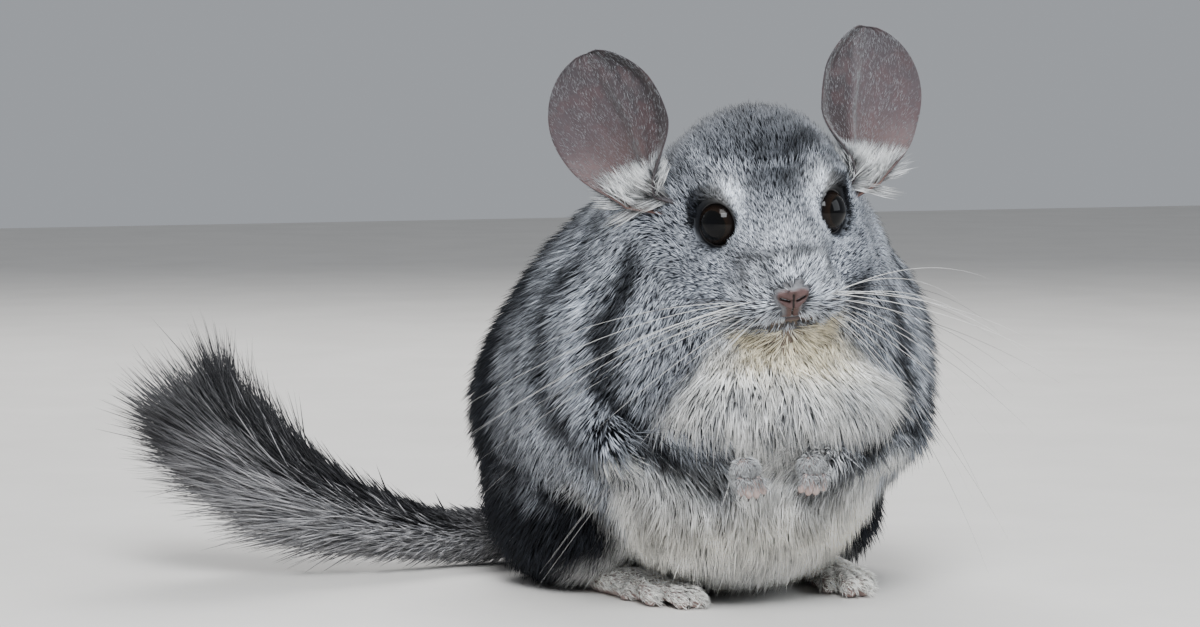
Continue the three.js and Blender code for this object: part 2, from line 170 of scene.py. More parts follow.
# A smooth curve through a few places, as evenly spaced steps (Catmull-Rom).
def curveThrough(places, steps):
    p = np.asarray(places, float)
    p = np.concatenate([2 * p[:1] - p[1:2], p, 2 * p[-1:] - p[-2:-1]])
    u = np.linspace(0, len(p) - 3 - 1e-9, 40 * len(p))
    i = u.astype(int)
    t = (u - i)[:, None]
    a, b, c, d = p[i], p[i + 1], p[i + 2], p[i + 3]
    fine = 0.5 * (2 * b + (c - a) * t + (2 * a - 5 * b + 4 * c - d) * t**2 + (3 * b - a - 3 * c + d) * t**3)
    length = np.concatenate([[0], np.cumsum(np.linalg.norm(np.diff(fine, axis=0), axis=1))])
    want = np.linspace(0, length[-1], steps)
    return np.stack([np.interp(want, length, fine[:, k]) for k in range(3)], -1)


def roundedEnds(t, power=4):
    return np.sqrt(np.clip(1 - np.abs(2 * t - 1) ** power, 0.02, 1))


# Body sizes, the same as the solids have

animal = {
    "bodySize": (76.0, 84.0, 146.0),  # half width, half length, height to the shoulders
    "headSize": (33.0, 40.0, 31.0),  # half width, half length, half height
    "headCentre": (-3.0, -47.0, 124.0),
    "headTurn": -15.0,
    "headLean": -6.0,
    "headNod": 27.0,
    "neckFillet": 9.0,
    "bodyCoat": 8.0,  # depth of the coat over the skin
    "faceCoat": 1.5,
    "crownCoat": 3.2,  # what the crown has more than the face
    "noseToCrown": (-46, 12),  # where that grows in, on the head's own line from front to back
    "headToBody": (36, 60),  # where the body's coat grows in, from the middle of the head
    "skinVoxel": 1.45,
    "skinFloor": 0.4,  # least height of the skin
}
bodySize = np.array(animal["bodySize"])
headSize = np.array(animal["headSize"])
headCentre = np.array(animal["headCentre"])


def turning(turn, lean, nod):
    t, l, n = np.radians([turn, lean, nod])
    aboutUp = np.array([[math.cos(t), -math.sin(t), 0], [math.sin(t), math.cos(t), 0], [0, 0, 1]])
    aboutNose = np.array([[math.cos(l), 0, math.sin(l)], [0, 1, 0], [-math.sin(l), 0, math.cos(l)]])
    aboutSide = np.array([[1, 0, 0], [0, math.cos(n), -math.sin(n)], [0, math.sin(n), math.cos(n)]])
    return aboutUp @ aboutNose @ aboutSide


headAxes = turning(animal["headTurn"], animal["headLean"], animal["headNod"])


def onHead(*local):
    return headCentre + headAxes @ np.array(local, float)


def headWay(*local):
    return headAxes @ unit(np.array(local, float))


def inHead(places):
    return (places - headCentre) @ headAxes


def onBody(x, y, z):
    return np.array([x, y, z]) * bodySize


# A lump is a rounded form: its middle, half sizes, the fillet that joins it to the rest, and its axes.
def lump(centre, radii, soft, axes=np.eye(3)):
    return {"centre": np.array(centre, float), "radii": np.array(radii, float), "soft": soft, "axes": axes}


def bodyLump(x, y, z, wide, long, high, soft):
    return lump(onBody(x, y, z), onBody(wide, long, high), soft)


def headLump(x, y, z, wide, long, high, soft):
    centre = onHead(*(np.array([x, y, z]) * headSize))
    return lump(centre, np.array([wide, long, high]) * headSize, soft, headAxes)


def limbLump(start, end, thick, soft):
    way = end - start
    length = np.linalg.norm(way)
    side = unit(np.cross(up if abs(way[2]) < 0.9 * length else np.array([1.0, 0, 0]), way))
    axes = np.stack([side, unit(np.cross(way, side)), way / length], -1)
    return lump((start + end) / 2, (thick, thick, length / 2 + thick * 0.7), soft, axes)


def shoulderSpot(side):
    return onBody(side * 0.58, -0.3, 0.5)


def elbowSpot(side):
    return onBody(side * 0.68 - 0.06, -0.58, 0.37)


def wristSpot(side):
    return onBody(side * 0.15 - 0.185, -0.95, 0.325)


trunkLumps = [
    bodyLump(0, 0.02, 0.44, 0.97, 0.92, 0.375, 10),  # flanks
    bodyLump(0, 0.34, 0.33, 0.84, 0.64, 0.34, 26),  # rump
    bodyLump(0, 0.05, 0.16, 0.55, 0.62, 0.185, 16),  # seat
    bodyLump(0.02, -0.14, 0.6, 0.84, 0.7, 0.38, 26),  # shoulders
    bodyLump(-0.1, -0.48, 0.27, 0.6, 0.42, 0.24, 14),  # belly
    bodyLump(-0.02, -0.72, 0.46, 0.54, 0.34, 0.17, 6),  # ruff of the chest
    bodyLump(-0.02, -0.3, 0.8, 0.52, 0.44, 0.2, 24),  # nape
    *(bodyLump(side * 0.54, 0.18, 0.195, 0.37, 0.5, 0.215, 10) for side in (-1, 1)),  # haunches
    *(limbLump(shoulderSpot(side), elbowSpot(side), 15, 6) for side in (-1, 1)),  # upper arms
    *(limbLump(elbowSpot(side), wristSpot(side), 11, 5) for side in (-1, 1)),  # forearms
]
headLumps = [
    headLump(0, 0.12, 0.14, 0.95, 0.84, 0.96, 8),  # skull
    headLump(0, -0.58, 0.08, 0.44, 0.52, 0.44, 14),  # bridge of the nose
    headLump(0, -0.84, -0.2, 0.42, 0.34, 0.34, 8),  # muzzle
    headLump(0, -0.5, -0.4, 0.5, 0.5, 0.42, 10),  # jaw
    headLump(0, -0.84, -0.62, 0.27, 0.24, 0.17, 3),  # chin
    headLump(0, -1.1, -0.06, 0.14, 0.1, 0.13, 2),  # nose pad
    *(headLump(side * 0.29, -0.9, -0.3, 0.28, 0.26, 0.27, 4) for side in (-1, 1)),  # whisker pads
    *(headLump(side * 0.62, -0.1, -0.3, 0.42, 0.6, 0.6, 10) for side in (-1, 1)),  # cheeks
    *(headLump(side * 0.5, -0.22, 0.5, 0.28, 0.36, 0.24, 8) for side in (-1, 1)),  # brows
]


# Roughly how far places are outside one lump, and outside several with fillets between them.
def outsideOne(places, each):
    local = (places - each["centre"]) @ each["axes"]
    share = np.linalg.norm(local / each["radii"], axis=1)
    slope = np.linalg.norm(local / each["radii"] ** 2, axis=1)
    return share * (share - 1) / np.maximum(slope, 1e-6)


def fillet(a, b, soft):
    near = np.maximum(soft - np.abs(a - b), 0) / soft
    return np.minimum(a, b) - near * near * soft / 4


def outsideAll(places, lumps):
    distance = np.full(len(places), 1e3)
    for each in lumps:
        distance = fillet(distance, outsideOne(places, each), each["soft"])
    return distance


# Depth of the coat: thin at the nose, deeper back over the head, full on the body.
def coatDepth(places):
    local = inHead(places)
    onFace = animal["faceCoat"] + animal["crownCoat"] * smooth(local[:, 1], *animal["noseToCrown"])
    away = smooth(np.linalg.norm(local, axis=1), *animal["headToBody"])
    return onFace * (1 - away) + animal["bodyCoat"] * away


eye = {
    "radius": 8.0,
    "spot": (15.3, -15.8, 8.6),  # of the left eye, from the middle of the head
    "way": (0.73, -0.66, 0.28),
    "opening": (0.86, 0.9),  # half width and half height between the lids, in radii
    "bulge": 0.035,  # of the cornea, in radii
    "rimWidth": 1.05,
    "rimHeight": 0.62,  # of its width
    "rimLift": 0.25,  # of the rim's line off the eyeball
    "rimThicker": 0.15,  # above and below, a share of its width
    "corner": 0.07,  # how far the corners are drawn out, a share of the opening
    "socket": 0.5,  # how far the skin stands off the eyeball
    "socketFillet": 3.0,
    "dishSlope": 0.75,  # a shallow dish in the skin round the opening
    "dishHeight": 4.8,  # above the eyeball's middle, at the opening's rim
    "dishRise": 6.0,  # higher by this for each width of the opening farther out
    "dishReach": 2.6,
    "offDish": 9.0,  # outside that, more than the fillet, so that the skin stays as it is
    "dishFillet": 1.5,
    "sunkShare": 0.8,  # of the opening: the skin inside it is sunk
    "sunkHeight": 0.2,  # above the eyeball's middle, in radii
    "noTufts": 1.08,  # shares of the opening: no tufts inside it, and many in the span round it
    "manyTufts": (1.1, 1.8),
    "pupil": 0.62,  # in radians from the way it looks
    "pupilColour": (0.002, 0.002, 0.002),
    "irisColour": (0.010, 0.006, 0.004),
    "rimColour": (0.004, 0.003, 0.003),
    "lidColour": (0.006, 0.005, 0.006),
}
eyeRadius = eye["radius"]
lidOpening = [share * eyeRadius for share in eye["opening"]]


def eyeSpot(side):
    x, y, z = eye["spot"]
    return onHead(side * x, y, z)


def eyeWay(side):
    x, y, z = eye["way"]
    return headWay(side * x, y, z)


# Axes of an eye: across the opening, up it, and out of it.
def eyeAxes(side):
    out = eyeWay(side)
    across = unit(np.cross(headWay(0, 0, 1), out))
    return across, np.cross(out, across), out


# How far places lie from the middle of an eye's opening, as a share of the way to its rim, and how far out.
def inOpening(places, side):
    across, above, out = eyeAxes(side)
    away = places - eyeSpot(side)
    return np.hypot(away @ across / lidOpening[0], away @ above / lidOpening[1]), away @ out


# The skin is where this field is nought: body and head joined, less the coat's depth, with a ball round each
# eye in a shallow dish.
def skinField(places):
    body, head = outsideAll(places, trunkLumps), outsideAll(places, headLumps)
    field = fillet(body, head, animal["neckFillet"]) + coatDepth(places)
    for side in (-1, 1):
        socket = np.linalg.norm(places - eyeSpot(side), axis=1) - eyeRadius - eye["socket"]
        field = fillet(field, socket, eye["socketFillet"])
        ring, high = inOpening(places, side)
        dish = eye["dishSlope"] * (high - eye["dishHeight"] - eye["dishRise"] * np.maximum(ring - 1, 0))
        field = -fillet(-field, np.where(ring < eye["dishReach"], -dish, eye["offDish"]), eye["dishFillet"])
    return field


# The skin inside each opening is sunk behind the eyeball, and its edge drawn to the rim.
def sinkOpenings(places):
    for side in (-1, 1):
        out = eyeAxes(side)[2]
        ring, high = inOpening(places, side)
        inside = ring <= eye["sunkShare"]
        middle = eyeSpot(side) + high[:, None] * out
        edge = (high > 0) & ~inside & (ring < 1.0)
        places = np.where(edge[:, None], middle + (places - middle) / np.maximum(ring, 0.1)[:, None], places)
        lower = places - (high - eye["sunkHeight"] * eyeRadius)[:, None] * out
        places = np.where((inside & (high > 0))[:, None], lower, places)
    return places


muzzle = {
    "inside": (0.0, -28.0, -7.75),  # where its rays start, from the middle of the head
    "reach": 45.0,
    "raySteps": 60,
    "rows": 120,
    "columns": 136,
    "halfWidth": 1.25,  # from here to the border's width on the muzzle's grid
    "low": -1.15,
    "high": 0.75,
    "mouthHeight": -0.33,
    "mouthDroop": 0.17,
    "mouthEnd": (0.95, 1.15),
    "mouthWidth": 0.05,
    "cleftWidth": 0.022,
    "nostril": ((0.075, 0.155), (0.24, 0.215), 0.03),  # from, to and width of a stroke
    "wing": ((0.05, 0.24), (0.26, 0.32), 0.075),
    "borderWidth": 0.18,
    "skinHeight": 0.35,  # heights and depths in millimetres
    "noseHeight": 0.8,
    "wingHeight": 0.7,
    "stripHeight": 0.3,
    "lipHeight": 0.45,
    "pebbleHeight": 0.05,
    "mouthDepth": 1.1,
    "cleftDepth": 0.8,
    "nostrilDepth": 1.5,
    "borderDepth": 1.6,
    "furColour": (0.16, 0.16, 0.17),
    "chinColour": (0.13, 0.10, 0.08),
    "pinkColours": ((0.060, 0.031, 0.029), (0.115, 0.064, 0.060)),
    "lipColour": (0.10, 0.055, 0.045),
    # painted shade in the sunk mouth, cleft and nostrils, and the dark hair along the mouth
    "hollowShadeColour": (0.012, 0.007, 0.006),
}
muzzleInside = np.array(muzzle["inside"])
muzzleMiddle = onHead(*muzzleInside)


# Places on the muzzle's grid: how far a ray from inside it leans to the side and up, for each step forward.
def muzzleGrid(places):
    local = inHead(places) - muzzleInside
    ahead = np.maximum(-local[:, 1], 0.5)
    return local[:, 0] / ahead, local[:, 2] / ahead


def onMuzzle(ways):
    return rayEnds(skinField, muzzleMiddle, ways.reshape(-1, 3), muzzle["reach"], muzzle["raySteps"])


# Distance on the muzzle's grid from a straight stroke between two places.
def fromStroke(x, z, start, end):
    dx, dz = end[0] - start[0], end[1] - start[1]
    share = np.clip(((x - start[0]) * dx + (z - start[1]) * dz) / (dx * dx + dz * dz), 0, 1)
    return np.hypot(x - start[0] - share * dx, z - start[1] - share * dz)


# Distance from a line of such strokes.
def fromLine(x, z, corners):
    return np.minimum.reduce([fromStroke(x, z, start, end) for start, end in zip(corners, corners[1:])])


# The mouth's line, and shares of 1 on the nose's bare skin and on the bare strip between it and the mouth.
def mouthLine(x):
    return muzzle["mouthHeight"] - muzzle["mouthDroop"] * np.abs(x) ** 1.3


def nosePad(x, z):
    aside, above = x / (0.33 + 0.12 * (z - 0.2)), (z - 0.175 - 0.28 * np.abs(x)) / 0.22
    return fade(np.hypot(aside, above), 0.82, 1.08)


def philtrum(x, z):
    return fade(np.abs(x) / 0.15, 0.6, 1.2) * smooth(z, -0.36, -0.28) * fade(z, 0.02, 0.10)


def slopeOf(field, places, step=0.4):
    slope = np.empty_like(places)
    for k in range(3):
        aside = np.zeros(3)
        aside[k] = step
        slope[:, k] = (field(places + aside) - field(places - aside)) / (2 * step)
    return slope


# Moves places onto a field's surface along its slope.
def settle(places, field, rounds):
    for _ in range(rounds):
        slope = slopeOf(field, places)
        push = field(places)[:, None] * slope / np.maximum(np.sum(slope**2, 1, keepdims=True), 0.2)
        places = places - np.clip(push, -2, 2)
    return places


# Where rays from a middle leave a field's inside: steps outwards, then halvings.
def rayEnds(field, middle, ways, reach, steps=44):
    inner = np.zeros(len(ways))
    outer = np.full(len(ways), float(reach))
    found = np.zeros(len(ways), bool)
    for t in np.linspace(0, reach, steps)[1:]:
        out = field(middle + ways * t) > 0
        outer = np.where(out & ~found, t, outer)
        found |= out
        inner = np.where(found, inner, t)
    for _ in range(12):
        half = (inner + outer) / 2
        out = field(middle + ways * half[:, None]) > 0
        outer = np.where(out, half, outer)
        inner = np.where(out, inner, half)
    return middle + ways * inner[:, None]


# A globe of rays: rows from pole to pole, columns round it.
def globe(rows, columns):
    tilt = np.linspace(0, math.pi, rows + 2)[1:-1]
    turn = np.arange(columns) * 2 * math.pi / columns
    return np.stack([np.sin(tilt)[:, None] * np.cos(turn), np.sin(tilt)[:, None] * np.sin(turn),
                     np.cos(tilt)[:, None] + 0 * turn], -1)


def wrapMesh(field, middle, reach, rows, columns):
    ways = globe(rows, columns)
    ends = rayEnds(field, middle, ways.reshape(-1, 3), reach)
    return ringsToMesh(ends.reshape(rows, columns, 3))


# One closed, smoothly shaded skin from several overlapping closed surfaces, by a voxel remesh.
def weld(name, parts, voxel):
    thing = putSolid(name, joinMeshes(parts))
    remesh = thing.modifiers.new("weld", "REMESH")
    remesh.mode = "VOXEL"
    remesh.voxel_size = voxel * mm
    bpy.context.view_layer.objects.active = thing
    thing.select_set(True)
    bpy.ops.object.modifier_apply(modifier=remesh.name)
    thing.select_set(False)
    thing.data.polygons.foreach_set("use_smooth", np.ones(len(thing.data.polygons), bool))
    return thing


def placesOf(thing):
    flat = np.empty(len(thing.data.vertices) * 3, np.float32)
    thing.data.vertices.foreach_get("co", flat)
    return flat.reshape(-1, 3).astype(float) / mm


def moveTo(thing, places):
    thing.data.vertices.foreach_set("co", (places * mm).astype(np.float32).ravel())
    thing.data.update()


# Shader trees

# One output of a shader tree; the operators on it add Math nodes.
class Wire:
    def __init__(self, finish, socket):
        self.finish = finish
        self.socket = socket

    def __add__(self, other):
        return self.finish.maths("ADD", self, other)

    __radd__ = __add__

    def __sub__(self, other):
        return self.finish.maths("SUBTRACT", self, other)

    def __rsub__(self, other):
        return self.finish.maths("SUBTRACT", other, self)

    def __mul__(self, other):
        return self.finish.maths("MULTIPLY", self, other)

    __rmul__ = __mul__


# A material: constants on the Principled shader, and nodes for what varies.
class Finish:
    def __init__(self, name, **constants):
        self.material = bpy.data.materials.new(name)
        self.material.use_nodes = True
        self.tree = self.material.node_tree
        self.shader = self.tree.nodes["Principled BSDF"]
        for key, value in constants.items():
            self.shader.inputs[key.replace("_", " ")].default_value = value
        self.place = self.node("ShaderNodeTexCoord", output="Object")

    def node(self, kind, settings=None, inputs=None, output=0):
        made = self.tree.nodes.new(kind)
        for key, value in (settings or {}).items():
            if key == "stops":
                self.setStops(made.color_ramp, value)
            else:
                setattr(made, key, value)
        for key, value in (inputs or {}).items():
            self.feed(made.inputs[key], value)
        return Wire(self, made.outputs[output])

    def setStops(self, ramp, stops):
        while len(ramp.elements) < len(stops):
            ramp.elements.new(1.0)
        for element, (position, colour) in zip(ramp.elements, stops):
            element.position = position
            element.color = (*colour, 1.0)

    def feed(self, socket, value):
        if isinstance(value, Wire):
            self.tree.links.new(value.socket, socket)
        else:
            socket.default_value = value

    def maths(self, operation, first, second):
        return self.node("ShaderNodeMath", {"operation": operation}, {0: first, 1: second})

    def mark(self, name):
        return self.node("ShaderNodeAttribute", {"attribute_name": name}, output="Fac")

    def marks(self, *names):
        return [self.mark(name) for name in names]

    def noise(self, scale, detail=2.0, roughness=0.5):
        return self.node("ShaderNodeTexNoise", {},
                         {"Vector": self.place, "Scale": scale, "Detail": detail, "Roughness": roughness})

    def ramp(self, value, stops):
        return self.node("ShaderNodeValToRGB", {"stops": stops}, {"Fac": value})

    def between(self, value, low, high):
        return self.node("ShaderNodeMapRange", {"interpolation_type": "SMOOTHSTEP"},
                         {"Value": value, "From Min": low, "From Max": high})

    def mix(self, share, first, second, blend="MIX"):
        first, second = (v if isinstance(v, Wire) else (*v, 1.0) for v in (first, second))
        return self.node("ShaderNodeMix", {"data_type": "RGBA", "blend_type": blend},
                         {0: share, 6: first, 7: second}, output=2)

    def scaled(self, colour, amount):
        return self.node("ShaderNodeVectorMath", {"operation": "SCALE"}, {0: colour, "Scale": amount})

    def bump(self, height, strength, distance):
        return self.node("ShaderNodeBump", {}, {"Height": height, "Strength": strength, "Distance": distance})

    def set(self, **wires):
        for key, value in wires.items():
            self.feed(self.shader.inputs[key.replace("_", " ")], value)
        return self.material


coatColours = {
    "grey": [(0.0, (0.012, 0.014, 0.019)), (0.42, (0.045, 0.051, 0.066)), (0.62, (0.62, 0.66, 0.73)),
             (0.80, (0.62, 0.66, 0.73)), (0.93, (0.045, 0.051, 0.066)), (1.0, (0.016, 0.018, 0.023))],
    "white": [(0.0, (0.22, 0.23, 0.25)), (0.5, (0.74, 0.74, 0.74)), (0.85, (0.97, 0.97, 0.95))],
    "dark": [(0.0, (0.006, 0.007, 0.010)), (0.6, (0.006, 0.007, 0.010)), (0.8, (0.030, 0.034, 0.044)),
             (1.0, (0.006, 0.007, 0.010))],
    "cream": (0.90, 0.80, 0.58),
    "bandShift": 0.22,  # how far the bands move from tuft to tuft
}


# The coat's finish: each tuft is banded from root (0) to tip (1), grey, white or dark by where it grows.
def coatFinish():
    finish = Finish("coat", Roughness=0.68, Specular_IOR_Level=0.16)
    along, luck, white, dark, light, cream = finish.marks("along", "luck", "white", "dark", "light", "cream")
    band = along + (luck - 0.5) * coatColours["bandShift"]
    grey, slate = finish.ramp(band, coatColours["grey"]), finish.ramp(band, coatColours["dark"])
    pale = finish.mix(cream, finish.ramp(along, coatColours["white"]), coatColours["cream"], "MULTIPLY")
    colour = finish.mix(white, finish.mix(dark, grey, slate), pale)
    mottle = finish.between(finish.noise(120.0, 3.0, 0.65), 0.3, 0.7) * 0.5 + 0.75
    shade = (luck * 0.6 + 0.7) * (light * 1.3 + 0.35) * mottle
    return finish.set(Base_Color=finish.scaled(colour, shade))


# The body's markings: degrees from its front, millimetres round it from the ruff's middle, and heights.
ruff = {
    "edge": ((0, 54), (20, 48), (45, 43), (60, 36), (80, 28), (98, 12)),  # height, degrees
    "top": (86, 102),
    "belly": (62, 90),  # degrees
    "innerArc": ((10, 42), (20, 45), (38, 54), (49, 67), (53, 77), (55, 94), (48, 113)),  # round, height
    "outerArc": ((47, 41), (62, 56), (72, 65), (79, 74), (83, 84), (83, 98), (75, 115)),
    "back": (70, 106),  # degrees
    "grizzled": (104, 140),
    "haunchFront": (44, 54),
    "haunchTop": (34, 52),
    "arcStrength": 0.92,
    "barStrength": 0.4,
    # how dark the crease's fur and painted shade are
    "creaseShadeAndFurStrength": 0.97,
    "tickStrength": 0.8,
}


# Degrees round the body from its front, positive to its left.
def turnOf(places):
    return np.degrees(np.arctan2(places[:, 0] + 2, -places[:, 1]))


# The nearest places on a forearm's line, their shares of the way to the wrist, and how far off they are.
def nearForearm(places, side):
    start, way = elbowSpot(side), wristSpot(side) - elbowSpot(side)
    share = np.clip((places - start) @ way / np.sum(way**2), 0, 1)
    line = start + share[:, None] * way
    return line, share, np.linalg.norm(places - line, axis=1)


# Where the coat is white, dark, light or cream: worked out alike for the skin and for each tuft's root.
def markings(places, ways):
    ripple, fine = waves(places, 26, 3), waves(places, 9, 4)
    armTop = np.zeros(len(places))
    for side in (-1, 1):
        line, share, near = nearForearm(places, side)
        top = smooth(places[:, 2] - line[:, 2], -3, 5)
        armTop = np.maximum(armTop, fade(near, 11, 17) * top * fade(share, 0.6, 0.95))
    onTrunk = trunkMarkings(places, ways, ripple, fine)
    onTrunk["white"] = onTrunk["white"] * (1 - armTop)
    onTrunk["light"] = onTrunk["light"] - 0.22 * armTop
    onHeadMarks = headMarkings(places, ripple, fine)
    isHead = fade(outsideAll(places, headLumps), 0.0, 9.0)
    return {key: np.clip(onTrunk[key] * (1 - isHead) + onHeadMarks[key] * isHead, 0, 1.2) for key in onTrunk}


# Body: white ruff and belly, a black crease under the ruff (dark fur and painted shade), mottled grey flanks
# with dark arcs, black back and haunch. Spans of z are heights, and spans of away are degrees from the front.
def trunkMarkings(places, ways, ripple, fine):
    z, turn = places[:, 2], turnOf(places) + 2.5
    away = np.abs(turn)
    aside = 1.3 * np.abs(turn + 5)  # millimetres round the body from the middle of the ruff
    streak = waves(places, 7, 6, (1, 1, 4))
    halfFront = np.interp(z, *np.array(ruff["edge"], float).T) + 5 * ripple
    front = fade(away, halfFront - 5, halfFront + 7)
    white = front * fade(z, *ruff["top"])
    white = np.maximum(white, smooth(-ways[:, 2], 0.45, 0.75) * fade(away, *ruff["belly"]))
    inner, outer = fromLine(aside, z, ruff["innerArc"]), fromLine(aside, z, ruff["outerArc"])
    # The crease: dark fur and painted shade in the band where the ruff meets the forearms.
    crease = hump(inner, 0, 5.6) * smooth(aside, 8, 20) * fade(z, 60, 80)
    ticks = smooth(streak, 0.45, 0.9) * hump(z, 62, 14) * fade(away, 14, 26)
    white = white * (1 - 0.9 * crease) * (1 - 0.75 * ticks)
    grizzled = 0.34 * smooth(away, *ruff["grizzled"]) * smooth(fine, -0.9, 0.7)
    back = smooth(away + 9 * ripple + 7 * fine, *ruff["back"]) * (1 - grizzled)
    haunch = smooth(away + 3 * fine, *ruff["haunchFront"]) * fade(z + 6 * fine, *ruff["haunchTop"])
    arcs = 1.15 * hump(inner + 1.2 * fine, 0, 5.4) * smooth(z, 42, 54) + hump(outer + 1.5 * fine, 0, 5.0)
    stripes = waves(np.stack([aside, aside * 0, z * 0.25], -1), 13, 5)
    bars = smooth(stripes + 0.3 * fine, 0.25, 0.9) * smooth(away, 30, 46)
    dark = np.maximum.reduce([
        back, haunch, ruff["arcStrength"] * np.minimum(arcs, 1), ruff["barStrength"] * bars,
        ruff["creaseShadeAndFurStrength"] * crease, ruff["tickStrength"] * ticks])
    light = 0.50 + 0.12 * ripple + 0.09 * fine + 0.14 * hump(aside, 62, 9) * smooth(z, 50, 70)
    cream = hump(z, 86, 8) * fade(away, 6, 24) + 0.25 * hump(z, 30, 9) * front
    return {"white": white, "dark": dark, "light": light, "cream": cream * white}


# Head: dark crown with pale arcs, pale brows, dark rims and tear lines by the eyes, pale ticked muzzle, cream
# chin, and painted shade on the far cheek. Spans are millimetres from the middle of the head: hx to its left,
# hy back and hz up.
def headMarkings(places, ripple, fine):
    hx, hy, hz = inHead(places).T
    snout = smooth(-hy, 20, 36)
    crown = smooth(hz + 0.25 * hy, 7, 20) * (1 - snout)
    brow, rim, tear = np.zeros((3, len(hx)))
    for side in (-1, 1):
        brow += hump(hx, side * 14.5, 6.5) * hump(hy, -19, 8) * hump(hz, 19.5, 4.2)
        fromEye = np.linalg.norm(places - eyeSpot(side), axis=1)
        upper = smooth(hz, 6, 16) * smooth(side * hx, 13, 20)
        rim = np.maximum(rim, fade(fromEye - 2.2 * upper, eyeRadius + 1.2, eyeRadius + 2.6))
        tear = np.maximum(tear, hump(side * hx, 12.5, 1.6) * hump(hz, -1.5, 4.5) * smooth(-hy, 12, 20))
    arc = hump(np.hypot(hx, 1.2 * (hy - 2)), 21, 2.0) * crown * smooth(-hy, -14, -4)
    fold = hump(hz + 0.02 * hx**2, 7.0, 1.5) * smooth(-hy, 26, 31) * fade(np.abs(hx), 9, 15)
    # Painted shade: a dark patch low on the far (left) cheek only, standing for the shadow there.
    farCheekShade = 1.2 * hump(hx, 24, 6.5) * hump(hz, -16, 7) * smooth(-hy, 0, 10)
    pads = smooth(np.abs(hx), 7, 12) * snout * fade(hz, -4, 4)
    ticked = 0.55 * pads * smooth(waves(places, 3.2, 8), 0.2, 0.8)
    forehead = hump(hx, 0, 9) * hump(hz, 20, 10) * (1 - snout)
    dark = 0.62 * crown + 0.25 * smooth(ripple, 0.1, 1) + 0.3 * forehead + ticked + 0.85 * farCheekShade
    dark = np.maximum.reduce([dark - 0.5 * brow - 0.35 * arc, rim, 0.85 * tear, 0.75 * fold])
    light = 0.46 + 0.40 * brow + 0.12 * snout - 0.12 * crown + 0.20 * arc + 0.12 * fine - 0.15 * fold
    light = light + 0.14 * smooth(-hz, 2, 14) * smooth(np.abs(hx), 14, 24)
    chin = smooth(-hz, 14.5, 17.5) * smooth(-hy, 8, 20) * fade(np.abs(hx), 13, 20)
    white = chin + 0.12 * snout * fade(np.abs(hx), 14, 22) * (1 - ticked) + 0.22 * brow
    return {"white": np.clip(white, 0, 1), "dark": np.clip(dark, 0, 1), "light": light, "cream": 0.9 * chin}


# Skin

print("skin")
trunkMiddle = onBody(0, -0.05, 0.42)
headMiddle = onHead(0, -14, -4)
skin = weld("skin", [
    wrapMesh(lambda p: outsideAll(p, trunkLumps) + coatDepth(p), trunkMiddle, 130, 110, 180),
    wrapMesh(lambda p: outsideAll(p, headLumps) + coatDepth(p), headMiddle, 70, 110, 150),
], animal["skinVoxel"])
skinPlaces = sinkOpenings(settle(placesOf(skin), skinField, 4))
skinPlaces[:, 2] = np.maximum(skinPlaces[:, 2], animal["skinFloor"])
moveTo(skin, skinPlaces)
skinWays = unit(slopeOf(skinField, skinPlaces))
setMarks(skin.data, {**markings(skinPlaces, skinWays), "along": 0.5, "luck": 0.4})
coatMaterial = coatFinish()
skin.data.materials.append(coatMaterial)
flesh = ["torso", "neck", "head"]
flesh += [f"{part}_{side}" for part in ("haunch", "upper_arm", "forearm") for side in sides]
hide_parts(*flesh)
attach(skin, "root")


# Tufts

# Solid tufts of hair: each a flat three-sided blade that leaves its root, bends over and tapers to a tip.
# Its line is root + length * (s * start + s^2 * bend), for s from 0 to 1.
# One number for a mark, a width or a bend stands for all the tufts.
def tuftMesh(name, roots, start, bend, length, wide, thin, marks, uvSpots, rings=2, rootMark=0.0, taper=0.75):
    number = len(roots)
    bend = np.broadcast_to(bend, roots.shape)
    wide, thin = np.broadcast_to(wide, number), np.broadcast_to(thin, number)
    shares = np.linspace(0, 1, rings + 1)
    side = unit(np.cross(start + bend * 0.5, unit(chance.normal(size=roots.shape)) + start * 0.01))
    columns = []
    for s in shares[:-1]:
        middle = roots + length[:, None] * (s * start + s * s * bend)
        facing = unit(np.cross(unit(start + 2 * s * bend), side))
        narrow = 1 - taper * s**1.5
        for across, high in ((-1.0, 0.0), (1.0, 0.0), (0.0, 1.0)):
            aside = side * (wide * narrow * across)[:, None]
            columns.append(middle + aside + facing * (thin * narrow * high)[:, None])
    columns.append(roots + length[:, None] * (start + bend))
    spots = np.stack(columns, 1)
    spots[:, :, 2] = np.maximum(spots[:, :, 2], coat["floorGap"])
    tip = 3 * rings
    faces = [(0, 2, 1)]
    for i in range(0, tip - 3, 3):
        for j in range(3):
            a, b, c, d = i + j, i + (j + 1) % 3, i + 3 + (j + 1) % 3, i + 3 + j
            faces += [(a, b, c), (a, c, d)]
    faces += [(tip - 3 + j, tip - 3 + (j + 1) % 3, tip) for j in range(3)]
    pattern = outward(spots[0], np.array(faces))[1]
    per = tip + 1
    corners = (np.arange(number)[:, None, None] * per + pattern[None]).reshape(-1)
    along = rootMark + (1 - rootMark) * np.repeat(shares, [3] * rings + [1])
    allMarks = {key: np.repeat(np.broadcast_to(values, number), per) for key, values in marks.items()}
    allMarks["along"] = np.tile(along, number)
    local = np.array([(across, s) for s in shares[:-1] for across in (0, 1, 0.5)] + [(0.5, 1)])
    uv = (uvSpots[:, None] + local[None] * coat["uvPatch"]).reshape(-1, 2)
    return putMesh(name, spots.reshape(-1, 3), corners, 3, allMarks, uv)


def inSquare(uv, fill=0.975):
    return 0.01 + fill * uv


